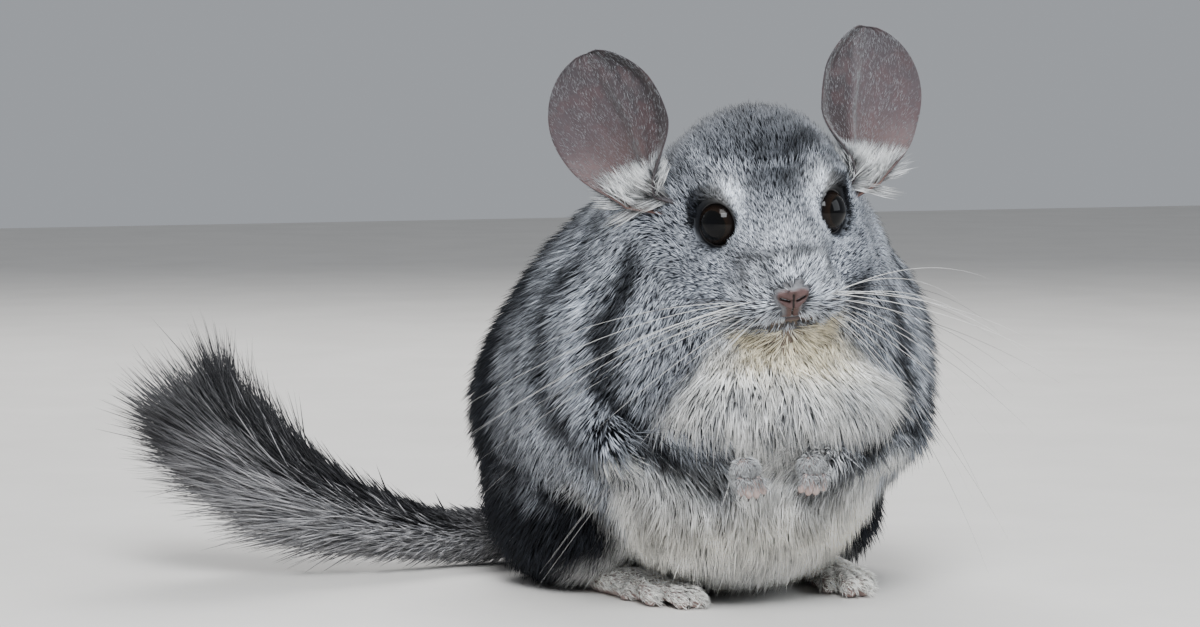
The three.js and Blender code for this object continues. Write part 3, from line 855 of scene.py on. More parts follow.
# Places on the unwrapped skin: turn and tilt about a middle, stretched to fill the square.
def unwrap(places, middle, facing):
    away = places - middle
    flat = np.arctan2(away[:, 1], away[:, 0]) - facing
    flat = (flat + math.pi) % (2 * math.pi) - math.pi
    tilt = np.arcsin(np.clip(unit(away)[:, 2], -1, 1))
    uv = np.stack([flat, tilt], -1)
    low, high = uv.min(0), uv.max(0)
    return inSquare((uv - low) / (high - low))


def wear(thing, material, slot, nodes=()):
    thing.data.materials.append(material)
    if nodes:
        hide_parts(*nodes)
    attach(thing, "root")
    return thing


# Random places on a mesh's triangles, as many to the area as the density there says.
def scatter(thing, density, seed):
    draw = np.random.default_rng(seed)
    mesh = thing.data
    mesh.calc_loop_triangles()
    corners = np.empty(len(mesh.loop_triangles) * 3, np.int32)
    mesh.loop_triangles.foreach_get("vertices", corners)
    a, b, c = (placesOf(thing)[corners.reshape(-1, 3)[:, k]] for k in range(3))
    area = 0.5 * np.linalg.norm(np.cross(b - a, c - a), axis=1)
    middle = (a + b + c) / 3
    weight = area * density(middle)
    number = int(weight.sum())
    pick = draw.choice(len(area), number, p=weight / weight.sum())
    u, v = draw.random((2, number, 1))
    over = u + v > 1
    u, v = np.where(over, 1 - u, u), np.where(over, 1 - v, v)
    return a[pick] + u * (b[pick] - a[pick]) + v * (c[pick] - a[pick])


coat = {
    "bodyDensity": 1.5,  # tufts to a square millimetre
    "faceDensity": 3.4,
    "bodyLength": 12.0,
    "faceLength": 2.7,
    "bodyWidth": 0.36,
    "faceWidth": 0.17,
    "thinShare": 0.6,  # of the width
    "quickShare": 0.4,
    "floorGap": 0.15,
    "uvPatch": 0.003,  # of one tuft on its map
    "nose": (0, -62, -9.5),  # on the head, where the face's coat parts
    "nape": (-3.0, -44.0, 152.0),  # where the body's coat parts
    "clump": 0.15,
    "jitter": 0.18,
    "unevenLength": 0.14,
    "headReach": 1.5,  # the head's pieces of coat are this near to its lumps
    "faceEnd": -12,  # the face's piece ends here, from the middle of the head
}
# The body's pieces of coat: turn from and to in degrees, side (0 for both), height from and to, the way that
# the middle of the piece faces, and its slot.
coatPieces = {
    "coatChest": (0, 44, 0, 44, 400, -90, "white_fur"),
    "coatBelly": (0, 60, 0, -50, 44, -90, "white_fur"),
    "coatFlankRight": (44, 112, -1, 44, 400, 180, "grey_fur"),
    "coatFlankLeft": (44, 112, 1, 44, 400, 0, "grey_fur"),
    "coatBack": (112, 181, 0, 58, 400, 90, "grey_fur"),
    "coatRump": (112, 181, 0, -50, 58, 90, "dark_fur"),
    "coatHaunchRight": (60, 112, -1, -50, 44, 180, "dark_fur"),
    "coatHaunchLeft": (60, 112, 1, -50, 44, 0, "dark_fur"),
}


# 0 on the muzzle, 1 on the body: how far back the coat has grown to its full length.
def bodyShare(places):
    head = inHead(places)
    backward = 0.5 * smooth(head[:, 1], -44, 16)
    return np.maximum(backward, smooth(np.linalg.norm(head, axis=1), 34, 60))


# Tufts to a square millimetre: none on the nose, the strip under it, the mouth's line and the eyes.
def tuftDensity(places):
    share = bodyShare(places)
    number = coat["faceDensity"] * (1 - share) ** 1.3 + coat["bodyDensity"] * share
    number = number * (places[:, 2] > 1.0)
    x, z = muzzleGrid(places)
    front = inHead(places)[:, 1] < -34
    bare = front & ((nosePad(x, z) > 0.9) | (philtrum(x, z) > 0.7))
    bare |= front & (np.abs(z - mouthLine(x) - 0.02) < 0.07) & (np.abs(x) < 0.95)
    number = number * (1 + 1.2 * front * fade(np.hypot(x, z - 0.1), 0.35, 0.7))
    for side in (-1, 1):
        ring, high = inOpening(places, side)
        bare |= (ring < eye["noTufts"]) & (high > 0)
        number = number * (1 + 1.8 * nearEye(places, side))
    quick = 1.0
    return number * ~bare * quick


# 1 at the rim of an eye's opening, down to 0 a few millimetres from it.
def nearEye(places, side):
    ring, high = inOpening(places, side)
    return fade(ring, *eye["manyTufts"]) * (high > 0)


# A way laid flat on the surface whose own ways point out of it.
def laidFlat(lie, ways):
    return unit(lie - ways * dot(lie, ways))


# The lie of the coat: back from the nose over the head, down and away from the nape over the body.
def lieOf(places, ways):
    fromNose = unit(places - onHead(*coat["nose"]))
    fromNape = unit(places - np.array(coat["nape"]))
    head = inHead(places)
    fromHead = np.linalg.norm(head, axis=1)
    offHead = smooth(outsideAll(places, headLumps), -1.0, 6.0)
    share = np.maximum(smooth(fromHead, 30, 52) * smooth(head[:, 1], -34, -6), offHead)[:, None]
    lie = unit(fromNose * (1 - share) + fromNape * share)
    for side in (-1, 1):
        near = nearForearm(places, side)[2]
        arm = fade(near, 9, 15)[:, None]
        lie = unit(lie * (1 - 0.5 * arm) + unit(wristSpot(side) - elbowSpot(side)) * 0.5 * arm)
        radial = unit(places - eyeSpot(side) - 0.6 * eyeRadius * eyeWay(side))
        lie = unit(lie + nearEye(places, side)[:, None] * laidFlat(radial, ways))
    return laidFlat(lie, ways)


# Each piece of the coat: its name, which roots are in it, the middle and the facing of its map, and its slot.
def piecesOf(roots):
    turn, z = turnOf(roots), roots[:, 2]
    isHead = outsideAll(roots, headLumps) < coat["headReach"]
    isFace = inHead(roots)[:, 1] < coat["faceEnd"]
    yield "coatFace", isHead & isFace, headMiddle, -90, "grey_fur"
    yield "coatCrown", isHead & ~isFace, headMiddle, -90, "grey_fur"
    for name, (near, far, side, low, high, facing, slot) in coatPieces.items():
        here = (np.abs(turn) >= near) & (np.abs(turn) < far) & (side * turn >= 0) & (z > low) & (z <= high)
        yield name, ~isHead & here, trunkMiddle, facing, slot


def growCoat():
    roots = settle(scatter(skin, tuftDensity, 21), skinField, 1)
    ways = unit(slopeOf(skinField, roots, 0.8))
    share = bodyShare(roots)
    number = len(roots)
    clump = np.stack([waves(roots, 17, 30 + k) for k in range(3)], -1)
    jitter = (coat["jitter"] + 0.08 * (1 - share))[:, None] * chance.normal(size=roots.shape)
    lie = laidFlat(unit(lieOf(roots, ways) + coat["clump"] * clump + jitter), ways)
    stand = (0.42 + 0.38 * share)[:, None]
    length = coat["faceLength"] + (coat["bodyLength"] - coat["faceLength"]) * share**1.15
    length = length * np.clip(1 + coat["unevenLength"] * chance.normal(size=number), 0.6, 1.35)
    x, z = muzzleGrid(roots)
    aboveMouth = np.where(np.abs(x) < 1.1, z - mouthLine(x), 1.0)
    length = length * (1 - 0.66 * fade(aboveMouth, 0.05, 0.3) * (aboveMouth > 0) * (1 - share))
    length = length * (1 - 0.4 * np.maximum(nearEye(roots, -1), nearEye(roots, 1)))
    wide = coat["faceWidth"] + (coat["bodyWidth"] - coat["faceWidth"]) * share
    wide = wide * chance.uniform(0.75, 1.25, number)
    bend = lie * 0.28 - ways * (0.10 + 0.05 * share)[:, None]
    tufts = {"start": unit(ways * stand + lie * 0.62), "bend": bend, "length": length, "wide": wide,
             "thin": wide * coat["thinShare"]}
    marks = markings(roots, ways)
    marks["luck"] = np.clip(0.5 + 0.24 * chance.normal(size=number), 0, 1)
    roots = roots - ways * (0.4 + 0.6 * share)[:, None]
    for name, here, middle, facing, slot in piecesOf(roots):
        piece = tuftMesh(name, roots[here], marks={key: values[here] for key, values in marks.items()},
                         uvSpots=unwrap(roots[here], middle, math.radians(facing)),
                         **{key: values[here] for key, values in tufts.items()})
        wear(piece, coatMaterial, slot)
        print(name, int(here.sum()), "tufts,", len(piece.data.polygons), "triangles")


print("coat")
growCoat()


# Eyes and lids

# An eyeball: a globe about the way it looks, its front bulged a little as a cornea.
def eyeballMesh(name, side):
    across, above, out = eyeAxes(side)
    ways = globe(46, 64)
    local = ways * eyeRadius * (1 + eye["bulge"] * smooth(ways[:, :, 2:], 0.55, 0.95))
    rings = local[:, :, :1] * across + local[:, :, 1:2] * above + local[:, :, 2:] * out + eyeSpot(side)
    spots, faces = ringsToMesh(rings)
    fromAxis = np.arccos(np.clip(unit(spots - eyeSpot(side)) @ out, -1, 1))
    return putSolid(name, (spots, faces), {"fromAxis": fromAxis})


def eyeFinish():
    finish = Finish("eye", Roughness=0.04, Specular_IOR_Level=0.1, Coat_Weight=0.1, Coat_Roughness=0.02)
    angle = finish.mark("fromAxis") + finish.noise(1400.0, 2.0) * 0.06
    return finish.set(Base_Color=finish.ramp(angle, [
        (0.0, (0.002, 0.002, 0.003)), (eye["pupil"], eye["pupilColour"]),
        (eye["pupil"] + 0.06, eye["irisColour"]), (0.98, eye["rimColour"])]))


# Lids: a soft rim carried round the almond opening, lying on the eyeball.
def lidMesh(name, side):
    across, above, out = eyeAxes(side)
    steps, around = 72, 10
    turn = np.linspace(0, 2 * math.pi, steps + 1)[:-1]
    corner = 1 + eye["corner"] * np.abs(np.cos(turn)) ** 9
    flat = np.stack([lidOpening[0] * np.cos(turn) * corner, lidOpening[1] * 0.99 * np.sin(turn)], -1)
    high = np.sqrt(np.maximum((eyeRadius + eye["rimLift"]) ** 2 - np.sum(flat**2, 1), 1.0))
    onRim = flat[:, :1] * across + flat[:, 1:] * above
    line = onRim + high[:, None] * out
    angle = (2 * math.pi * np.arange(around) / around)[None, :, None]
    thick = (eye["rimWidth"] * (1 + eye["rimThicker"] * np.sin(turn) ** 2))[:, None, None]
    rings = line[:, None] + thick * (np.cos(angle) * unit(onRim)[:, None]
                                     + eye["rimHeight"] * np.sin(angle) * unit(line)[:, None])
    spots = rings.reshape(-1, 3) + eyeSpot(side)
    return putSolid(name, outward(spots, halved(gridCorners(steps + 1, around, True) % len(spots))))


def darkSkinFinish(name, colour, roughness):
    finish = Finish(name, Roughness=roughness, Specular_IOR_Level=0.4)
    grain = finish.noise(2600.0, 3.0, 0.6)
    tone = finish.mix(finish.noise(400.0), colour, tuple(c * 1.7 for c in colour))
    tone = finish.scaled(tone, grain * 0.5 + 0.75)
    return finish.set(Base_Color=tone, Normal=finish.bump(grain, 0.25, 0.0002))


print("eyes")
eyeMaterial = eyeFinish()
lidMaterial = darkSkinFinish("lidSkin", eye["lidColour"], 0.45)
for sideName, side in sides.items():
    wear(eyeballMesh(f"eyeball_{sideName}", side), eyeMaterial, "eye", [f"eye_{sideName}"])
    wear(lidMesh(f"lids_{sideName}", side), lidMaterial, "paw_skin")


# Ears

ear = {
    "spot": (33.5, 6, 7.2),  # from the middle of the head
    "rise": (0.3, 0.4, 0.89),  # the way up the ear
    "facing": (0.54, -0.787, 0.4),
    "unlike": (0.06, 0.07, 1.2),  # the right ear leans out and turns more and stands higher by these
    "bothRight": 2,  # how far both stand to the right
    "length": 49.0,
    "halfWidth": 21.0,
    "thickness": 1.2,
    "widest": 0.56,  # share of the length
    "sunk": 0.2,  # share of the length that goes on into the head
    "rootAngle": 1.9,  # half of the arc across, at the funnel of the root and at the tip, in radians
    "tipAngle": 0.62,
    "foldHeight": 3.2,
    "foldPlace": -0.38,
    "ribHeight": 0.22,
    "rows": 60,
    "columns": 44,
    "hairs": 6000,
    "quickHairs": 2500,
    "innerHairs": 0.62,  # share of the hairs
    "colours": [(0.0, (0.15, 0.08, 0.065)), (0.14, (0.115, 0.075, 0.072)), (0.5, (0.064, 0.047, 0.052)),
                (1.0, (0.034, 0.028, 0.032))],  # from root to tip
    # painted shade on the ear's half past the fold
    "foldShadeColour": (0.012, 0.009, 0.011),
    "veinColour": (0.10, 0.045, 0.045),
    "backColour": (0.050, 0.045, 0.050),
}


# Where an ear stands, and its ways up, outwards and forwards.
def earFrame(side):
    x, y, z = ear["spot"]
    lean, turn, drop = (side * each for each in ear["unlike"])
    rise = headWay(side * (ear["rise"][0] - lean), *ear["rise"][1:])
    facing = headWay(side * (ear["facing"][0] - turn), *ear["facing"][1:])
    facing = unit(facing - rise * (facing @ rise))
    return onHead(side * x - ear["bothRight"], y, z - drop), rise, np.cross(rise, facing) * side, facing


# The ear's middle surface, for s from root to tip and w from -1 (towards the crown) to 1:
# an arc across that opens from a funnel to a wide cup, with one long fold and fine ribs.
def earSurface(side, s, w):
    root, rise, outwardWay, facing = earFrame(side)
    rising = np.clip(s / ear["widest"], 0, 1)
    falling = np.clip((s - ear["widest"]) / (1.01 - ear["widest"]), 0, 1)
    halfArc = ear["halfWidth"] * (0.5 + 0.5 * np.sin(rising * math.pi / 2)) * np.sqrt(1 - falling**2)
    halfAngle = ear["rootAngle"] + (ear["tipAngle"] - ear["rootAngle"]) * smooth(s, 0, 0.45)
    radius = halfArc / halfAngle
    fold = ear["foldHeight"] * hump(w, ear["foldPlace"], 0.2) * smooth(s, 0.05, 0.3) * fade(s, 0.6, 0.95)
    ribs = ear["ribHeight"] * np.sin(w * 17 + 2.2 * np.sin(5 * s))
    ribs = ribs * smooth(s, 0.2, 0.5) * (1 - np.abs(w)) ** 0.5
    behind = 3.0 * smooth(-w, 0.42, 0.75) * smooth(s, 0.1, 0.35) * fade(s, 0.7, 0.98)
    forward = radius * (1 - np.cos(halfAngle * w)) + fold + ribs - behind - 5 * s * np.abs(s)
    sunk = np.maximum(-s, 0)
    aside = radius * np.sin(halfAngle * w) * (1 - 2.2 * sunk) - 75 * sunk
    return (root + rise * (ear["length"] * s)[..., None] + outwardWay * aside[..., None]
            + facing * forward[..., None])


# Ways along and across an ear's middle surface, and out of its inner face.
def earWays(side, s, w, step=1e-3):
    ds = earSurface(side, s + step, w) - earSurface(side, s - step, w)
    dw = earSurface(side, s, np.clip(w + step, -1, 1)) - earSurface(side, s, np.clip(w - step, -1, 1))
    return ds, dw, unit(np.cross(dw, ds)) * side


def earThickness(s, w):
    return ear["thickness"] * (0.3 + 0.7 * np.sqrt(1 - np.abs(w) ** 6)) * (1 - 0.5 * s)


# An ear as a closed leaf: its cross outline goes up the inner face and back down the outer one.
def earMesh(name, side):
    rows, columns = ear["rows"], ear["columns"]
    s = np.linspace(-ear["sunk"], 1.0, rows)[:, None] + np.zeros((1, columns))
    w = np.linspace(-1, 1, columns)[None] + np.zeros((rows, 1))
    half = earWays(side, s, w)[2] * (earThickness(s, w) / 2)[..., None]
    middle = earSurface(side, s, w)
    # Marks on the inner face, on the outer one and on the two end places.
    marks = {"fromRoot": (s, s, (0, 1)), "acrossEar": (w, w[:, ::-1], (0, 0)),
             "inside": (s * 0 + 1, s * 0, (0.5, 0.5))}
    marks = {key: np.append(np.concatenate(each[:2], 1), each[2]) for key, each in marks.items()}
    return putSolid(name, ringsToMesh(np.concatenate([middle + half, (middle - half)[:, ::-1]], 1)), marks)


def earFinish():
    finish = Finish("earSkin", Roughness=0.62, Specular_IOR_Level=0.3, Sheen_Weight=0.15)
    fromRoot, across, inside = finish.marks("fromRoot", "acrossEar", "inside")
    veins = finish.between(finish.noise(170.0, 4.0, 0.65), 0.45, 0.62)
    fleck = finish.noise(1500.0, 2.0, 0.6)
    # Painted shade: the half of the ear towards the crown, past the fold, is darkened as the fold's shaded
    # side.
    foldShade = finish.between(across, -0.5, -0.34)
    colour = finish.mix(foldShade * 0.75 + 0.25, ear["foldShadeColour"], finish.ramp(fromRoot, ear["colours"]))
    colour = finish.mix(veins * 0.2, colour, ear["veinColour"])
    colour = finish.mix(1.0 - inside, colour, ear["backColour"])
    colour = finish.scaled(colour, fleck * 0.5 + 0.8)
    height = fleck * 0.5 + finish.noise(420.0, 3.0) * 0.5
    return finish.set(Base_Color=colour, Normal=finish.bump(height, 0.35, 0.0004))


# Fine hair on an ear, inside and out, and a longer pale fringe at its root.
def earHair(name, side):
    number = ear["hairs"]
    s = chance.uniform(-0.06, 0.97, number)
    w = chance.uniform(-0.98, 0.98, number)
    ds, dw, normal = earWays(side, s, w)
    inner = chance.random(number) < ear["innerHairs"]
    normal = normal * np.where(inner, 1, -1)[:, None]
    roots = earSurface(side, s, w) + normal * (earThickness(s, w) / 2 - 0.1)[:, None]
    lie = unit(unit(ds) + unit(dw) * (0.5 * w + 0.25 * chance.normal(size=number))[:, None])
    root = fade(s, 0.0, 0.28)
    start = unit(lie + normal * (0.22 + 0.5 * root)[:, None])
    length = (1.9 + 9.0 * root) * chance.uniform(0.7, 1.25, number)
    marks = {"white": 0.3 + 0.5 * root, "dark": 0.3 - 0.2 * root, "light": 0.12 + 0.3 * root, "cream": 0,
             "luck": chance.random(number)}
    uvSpots = inSquare(np.stack([(s + inner) / 2, (w + 1) / 2], -1), 0.97)
    return tuftMesh(name, roots, start, -normal * 0.1, length, 0.055 + 0.12 * root, 0.04 + 0.04 * root,
                    marks, uvSpots, rootMark=0.4)


print("ears")
earMaterial = earFinish()
for sideName, side in sides.items():
    wear(earMesh(f"earLeaf_{sideName}", side), earMaterial, "ear_skin", [f"ear_{sideName}"])
    wear(earHair(f"earHair_{sideName}", side), coatMaterial, "grey_fur")


# Muzzle: nose, cleft, lips and chin as one fine patch that lies on the skin

# Heights over the skin: the nose's pad and wings, the bare strip and the lips are raised, and the mouth, the
# cleft, the nostrils and the patch's border sunk.
def muzzlePatch():
    width, low, high = muzzle["halfWidth"], muzzle["low"], muzzle["high"]
    x = np.linspace(-width, width, muzzle["columns"])[None] + np.zeros((muzzle["rows"], 1))
    z = np.linspace(low, high, muzzle["rows"])[:, None] + np.zeros((1, muzzle["columns"]))
    ways = unit(np.stack([x, -np.ones_like(x), z], -1)) @ headAxes.T
    ends = onMuzzle(ways).reshape(ways.shape)
    aboveMouth = z - mouthLine(x)
    inMouth = hump(aboveMouth - 0.01, 0, muzzle["mouthWidth"]) * fade(np.abs(x), *muzzle["mouthEnd"])
    inCleft = hump(x, 0, muzzle["cleftWidth"]) * smooth(z, -0.36, -0.30) * fade(z, 0.27, 0.36)
    nostril, wing = (np.maximum.reduce([
        hump(fromStroke(side * x, z, start, end), 0, thick) for side in (-1, 1)])
        for start, end, thick in (muzzle["nostril"], muzzle["wing"]))
    onNose, onStrip = nosePad(x, z), philtrum(x, z)
    lip = hump(np.abs(aboveMouth) - 0.07, 0, 0.05) * fade(np.abs(x), 0.5, 0.95)
    pebble = waves(ends.reshape(-1, 3), 1.3, 12).reshape(x.shape) * onNose
    border = fade(np.minimum.reduce([x + width, width - x, z - low, high - z]), 0, muzzle["borderWidth"])
    relief = (muzzle["skinHeight"] + muzzle["noseHeight"] * onNose + muzzle["wingHeight"] * wing
              + muzzle["stripHeight"] * onStrip + muzzle["lipHeight"] * lip + muzzle["pebbleHeight"] * pebble
              - muzzle["mouthDepth"] * inMouth - muzzle["cleftDepth"] * inCleft
              - muzzle["nostrilDepth"] * nostril - muzzle["borderDepth"] * border)
    spots = (ends + ways * relief[..., None]).reshape(-1, 3)
    # The hollows' mark: painted shade in the sunk mouth, cleft and nostrils, with the mouth's dark hair.
    marks = {"bare": np.maximum(onNose, onStrip), "hollow": np.maximum.reduce([inMouth, inCleft, nostril]),
             "lip": lip, "chin": fade(aboveMouth, -0.14, -0.06)}
    return putMesh("muzzle", spots, gridCorners(*x.shape, False).ravel(), 4,
                   {key: values.ravel() for key, values in marks.items()})


def muzzleFinish():
    finish = Finish("muzzleSkin", Specular_IOR_Level=0.4)
    bare, hollow, lip, chin = finish.marks("bare", "hollow", "lip", "chin")
    grain = finish.noise(1900.0, 3.0, 0.6)
    fur = finish.scaled(finish.mix(chin, muzzle["furColour"], muzzle["chinColour"]), grain * 0.6 + 0.7)
    pink = finish.mix(finish.noise(500.0, 2.0), *muzzle["pinkColours"])
    colour = finish.mix(lip * 0.75, finish.mix(bare, fur, pink), muzzle["lipColour"])
    # Painted shade in the sunk mouth, cleft and nostrils, and the dark hair along the mouth.
    colour = finish.mix(finish.between(hollow, 0.25, 0.75), colour, muzzle["hollowShadeColour"])
    return finish.set(Base_Color=colour, Roughness=0.75 - bare * 0.3, Normal=finish.bump(grain, 0.35, 0.0003))


print("muzzle")
wear(muzzlePatch(), muzzleFinish(), "paw_skin")


# Forepaws and hind feet

forepaw = {
    "piece": "paw",
    "node": "forepaw",
    "palm": (4.0, 3.0, 3.6),  # half sizes
    "fingers": ((-1.5, 0.85), (-0.5, 1.0), (0.5, 1.0), (1.5, 0.82)),  # place across, share of the length
    "length": 9.0,
    "radius": 1.26,
    "voxel": 0.3,
    "hairFrom": (2, wristSpot(1)[2] - 3.2, 1.2),  # axis, least place on it, and how uneven that is
    "hairFacing": -1.0,  # the least of a surface's own way upwards
    "hairHeight": 0.0,
    "hairLie": (0, -0.45, -1.0),
    "hairDensity": 11,
    "hairLength": (2.2, 4.2),
    "hairWhite": 0.5,
    "hairLight": 0.26,
    "skinColours": [(0.3, (0.34, 0.24, 0.22)), (0.7, (0.46, 0.37, 0.34))],
    "clawColour": (0.035, 0.028, 0.026),
}
hindfoot = {
    "piece": "foot",
    "node": "hindfoot",
    "heel": (0.53, 0.05),  # shares of the body's size
    "length": 60.0,
    "halfWidth": 7.5,
    "halfHeight": 4.9,
    "soleHeight": 3.8,
    "floorGap": 0.05,
    "toes": ((-4.6, 0.82), (-1.6, 1.0), (1.8, 0.98), (5.0, 0.8)),  # place across, share of the length
    "toeRadius": 3.0,
    "pads": (0.62, 0.93),  # shares of a toe's reach
    "padSize": (2.1, 2.6, 1.5),
    "clawLength": 2.6,
    "voxel": 0.55,
    "hairFrom": (1, -53, 1.5),
    "hairFacing": -0.3,
    "hairHeight": 1.8,
    "hairLie": (0, -1.0, -0.1),
    "hairDensity": 5.0,
    "hairLength": (3.0, 6.0),
    "hairWhite": 1.0,
    "hairLight": 0.6,
}


def bezier(a, b, c, steps):
    t = np.linspace(0, 1, steps)[:, None]
    return (1 - t) ** 2 * a + 2 * t * (1 - t) * b + t**2 * c


def claw(path, wide, high, around, lift=up):
    return tube(path, np.linspace(*wide, len(path)), np.linspace(*high, len(path)), around, lift)


def forepawParts(side):
    wrist = wristSpot(side) + np.array([-0.02, -0.055, 0]) * bodySize
    parts, claws = [ringsToMesh(wrist + globe(18, 24) * np.array(forepaw["palm"]))], []
    length = forepaw["length"]
    front = np.array([0, -1.0, 0])
    t = np.linspace(0, 1, 18)
    size = forepaw["radius"] * (roundedEnds(t, 6) - 0.16 * t + 0.08 * np.sin(t * 10))
    for finger, reach in forepaw["fingers"]:
        knuckle = wrist + np.array([finger * 1.75, -1.8, -2.0])
        bend = knuckle + np.array([finger * 0.75 - side * 0.5, -2.2, -length * 0.34 * reach])
        tip = bend + np.array([finger * 0.1 - side * 0.9, 1.5, -length * 0.40 * reach])
        parts.append(tube(bezier(knuckle, bend, tip, len(t)), size, size, 12, front))
        way = unit(tip - bend)
        path = bezier(tip - way, tip + way * 0.5, tip + way * 1.1 + np.array([0, 0.7, 0]), 8)
        claws.append(claw(path, (0.42, 0.08), (0.45, 0.08), 8, front))
    return parts, claws


def footParts(side):
    length, radius = hindfoot["length"], hindfoot["toeRadius"]
    heel = np.array([side * hindfoot["heel"][0] * bodySize[0], hindfoot["heel"][1] * bodySize[1], 0])
    along = unit(np.array([-side * 0.19, -1.0, 0]))
    across = np.cross(up, along) * side

    def spot(share, aside, high):
        return heel + along * share * length + across * aside + up * high

    t = np.linspace(0, 1, 26)
    sole = np.linspace(spot(0, 0, hindfoot["soleHeight"]), spot(0.7, 0, hindfoot["soleHeight"]), len(t))
    wide = hindfoot["halfWidth"] * (0.7 + 0.3 * smooth(t, 0.2, 0.9)) * roundedEnds(t)
    parts, claws = [tube(sole, wide, hindfoot["halfHeight"] * roundedEnds(t), 20)], []
    t = np.linspace(0, 1, 22)
    size = radius * (roundedEnds(t) * (1 - 0.12 * t) + 0.06 * np.sin(t * 11))
    for aside, reach in hindfoot["toes"]:
        path = bezier(spot(0.6, aside * 0.8, radius * 1.3), spot(reach - 0.14, aside * 1.25, radius * 1.5),
                      spot(reach, aside * 1.45, radius * 0.7), len(t))
        parts.append(tube(path, size * 0.78, size * 0.95, 14))
        for share in hindfoot["pads"]:
            middle = spot(reach * share, aside * (0.9 + 0.5 * share), hindfoot["padSize"][2])
            parts.append(ringsToMesh(middle + globe(10, 14) * hindfoot["padSize"]))
        start = spot(reach - 0.03, aside * 1.43, radius * 1.1)
        end = start + along * hindfoot["clawLength"] - up * 0.8
        path = bezier(start, start + along * 1.6 + up * 0.5, end, 9)
        claws.append(claw(path, (0.8, 0.12), (0.95, 0.1), 10))
    return parts, claws


def pawFinish():
    finish = Finish("pawSkin", Roughness=0.6, Specular_IOR_Level=0.3)
    crease = finish.noise(900.0, 3.0, 0.6)
    colour = finish.ramp(finish.noise(260.0, 2.0), forepaw["skinColours"])
    colour = finish.scaled(colour, crease * 0.4 + 0.8)
    return finish.set(Base_Color=colour, Normal=finish.bump(crease, 0.4, 0.0003))


# Middles and normals of a mesh's faces.
def facesOf(mesh):
    for key in ("center", "normal"):
        values = np.empty(len(mesh.polygons) * 3, np.float32)
        mesh.polygons.foreach_get(key, values)
        yield values.reshape(-1, 3)


# Short hair on a paw, from its own surface normals, lying the paw's way.
def pawHair(name, thing, paw):
    density = paw["hairDensity"] * 1.0
    roots = scatter(thing, lambda p: np.full(len(p), density), 51)
    centres, normals = facesOf(thing.data)
    centres = centres / mm
    nearest = np.concatenate([np.argmin(((centres[None] - block[:, None]) ** 2).sum(-1), 1)
                              for block in np.array_split(roots, max(1, len(roots) // 400))])
    ways = unit(normals[nearest].astype(float))
    axis, least, uneven = paw["hairFrom"]
    kept = roots[:, axis] + uneven * chance.normal(size=len(roots)) > least
    kept &= (ways[:, 2] > paw["hairFacing"]) & (roots[:, 2] > paw["hairHeight"])
    roots, ways = roots[kept], ways[kept]
    number = len(roots)
    flow = laidFlat(unit(np.array(paw["hairLie"]) + 0.18 * chance.normal(size=roots.shape)), ways)
    marks = {"white": paw["hairWhite"], "dark": 0, "light": paw["hairLight"], "cream": 0.15,
             "luck": np.clip(0.5 + 0.2 * chance.normal(size=number), 0, 1)}
    uvSpots = unwrap(roots, roots.mean(0), 0.0)
    length = chance.uniform(*paw["hairLength"], number)
    return tuftMesh(name, roots - ways * 0.2, unit(flow + 0.5 * ways), -ways * 0.2, length, 0.15, 0.09, marks,
                    uvSpots, rootMark=0.3)


print("paws and feet")
pawMaterial = pawFinish()
clawMaterial = darkSkinFinish("claw", forepaw["clawColour"], 0.35)
for sideName, side in sides.items():
    for paw, partsOf in ((forepaw, forepawParts), (hindfoot, footParts)):
        parts, claws = partsOf(side)
        kind = paw["piece"]
        thing = weld(f"{kind}_{sideName}", parts, paw["voxel"])
        places = placesOf(thing)
        places[:, 2] = np.maximum(places[:, 2], hindfoot["floorGap"])
        moveTo(thing, places)
        wear(thing, pawMaterial, "paw_skin", [f"{paw['node']}_{sideName}"])
        wear(putSolid(f"{kind}Claws_{sideName}", joinMeshes(claws)), clawMaterial, "paw_skin")
        wear(pawHair(f"{kind}Hair_{sideName}", thing, paw), coatMaterial, "white_fur")


# Tail

tail = {
    "line": ((0.1, 0.66, 0.11), (-0.3, 0.84, 0.085), (-0.72, 0.83, 0.072), (-1.1, 0.81, 0.1),
             (-1.5, 0.9, 0.17), (-1.86, 1.02, 0.32), (-2.08, 1.1, 0.54)),  # shares of the body's size
    "steps": 160,
    "coreRadius": (6.5, 3.2),
    "coreEnd": 0.82,  # of the tail's length, where the flesh ends
    "coreHeight": 8.0,  # the least height of its middle
    "rootCoat": (8.0, 12.0),
    "brushHairs": 17600,
    "quickHairs": 6000,
    "brushLength": (26.0, 42.0),
    "brushStart": (0.34, 0.66),  # of the tail's length, where the long hair begins
    "brushEnd": (0.7, 0.82),
    "hairWidth": 0.42,
    "hairThickness": 0.22,
    "grey": [(0.0, (0.10, 0.10, 0.11)), (0.35, (0.38, 0.38, 0.40)), (0.75, (0.52, 0.51, 0.52)),
             (1.0, (0.10, 0.10, 0.11))],  # from the root to the tip of a hair
    "black": [(0.0, (0.09, 0.09, 0.10)), (0.4, (0.016, 0.016, 0.020)), (1.0, (0.006, 0.006, 0.008))],
}


def tailFinish():
    finish = Finish("tailHair", Roughness=0.55, Specular_IOR_Level=0.3, Sheen_Weight=0.05)
    along, luck, over = finish.marks("along", "luck", "over")
    grey = finish.ramp(along + (luck - 0.5) * 0.3, tail["grey"])
    colour = finish.mix(over, grey, finish.ramp(along, tail["black"]))
    return finish.set(Base_Color=finish.scaled(colour, luck * 0.7 + 0.6))


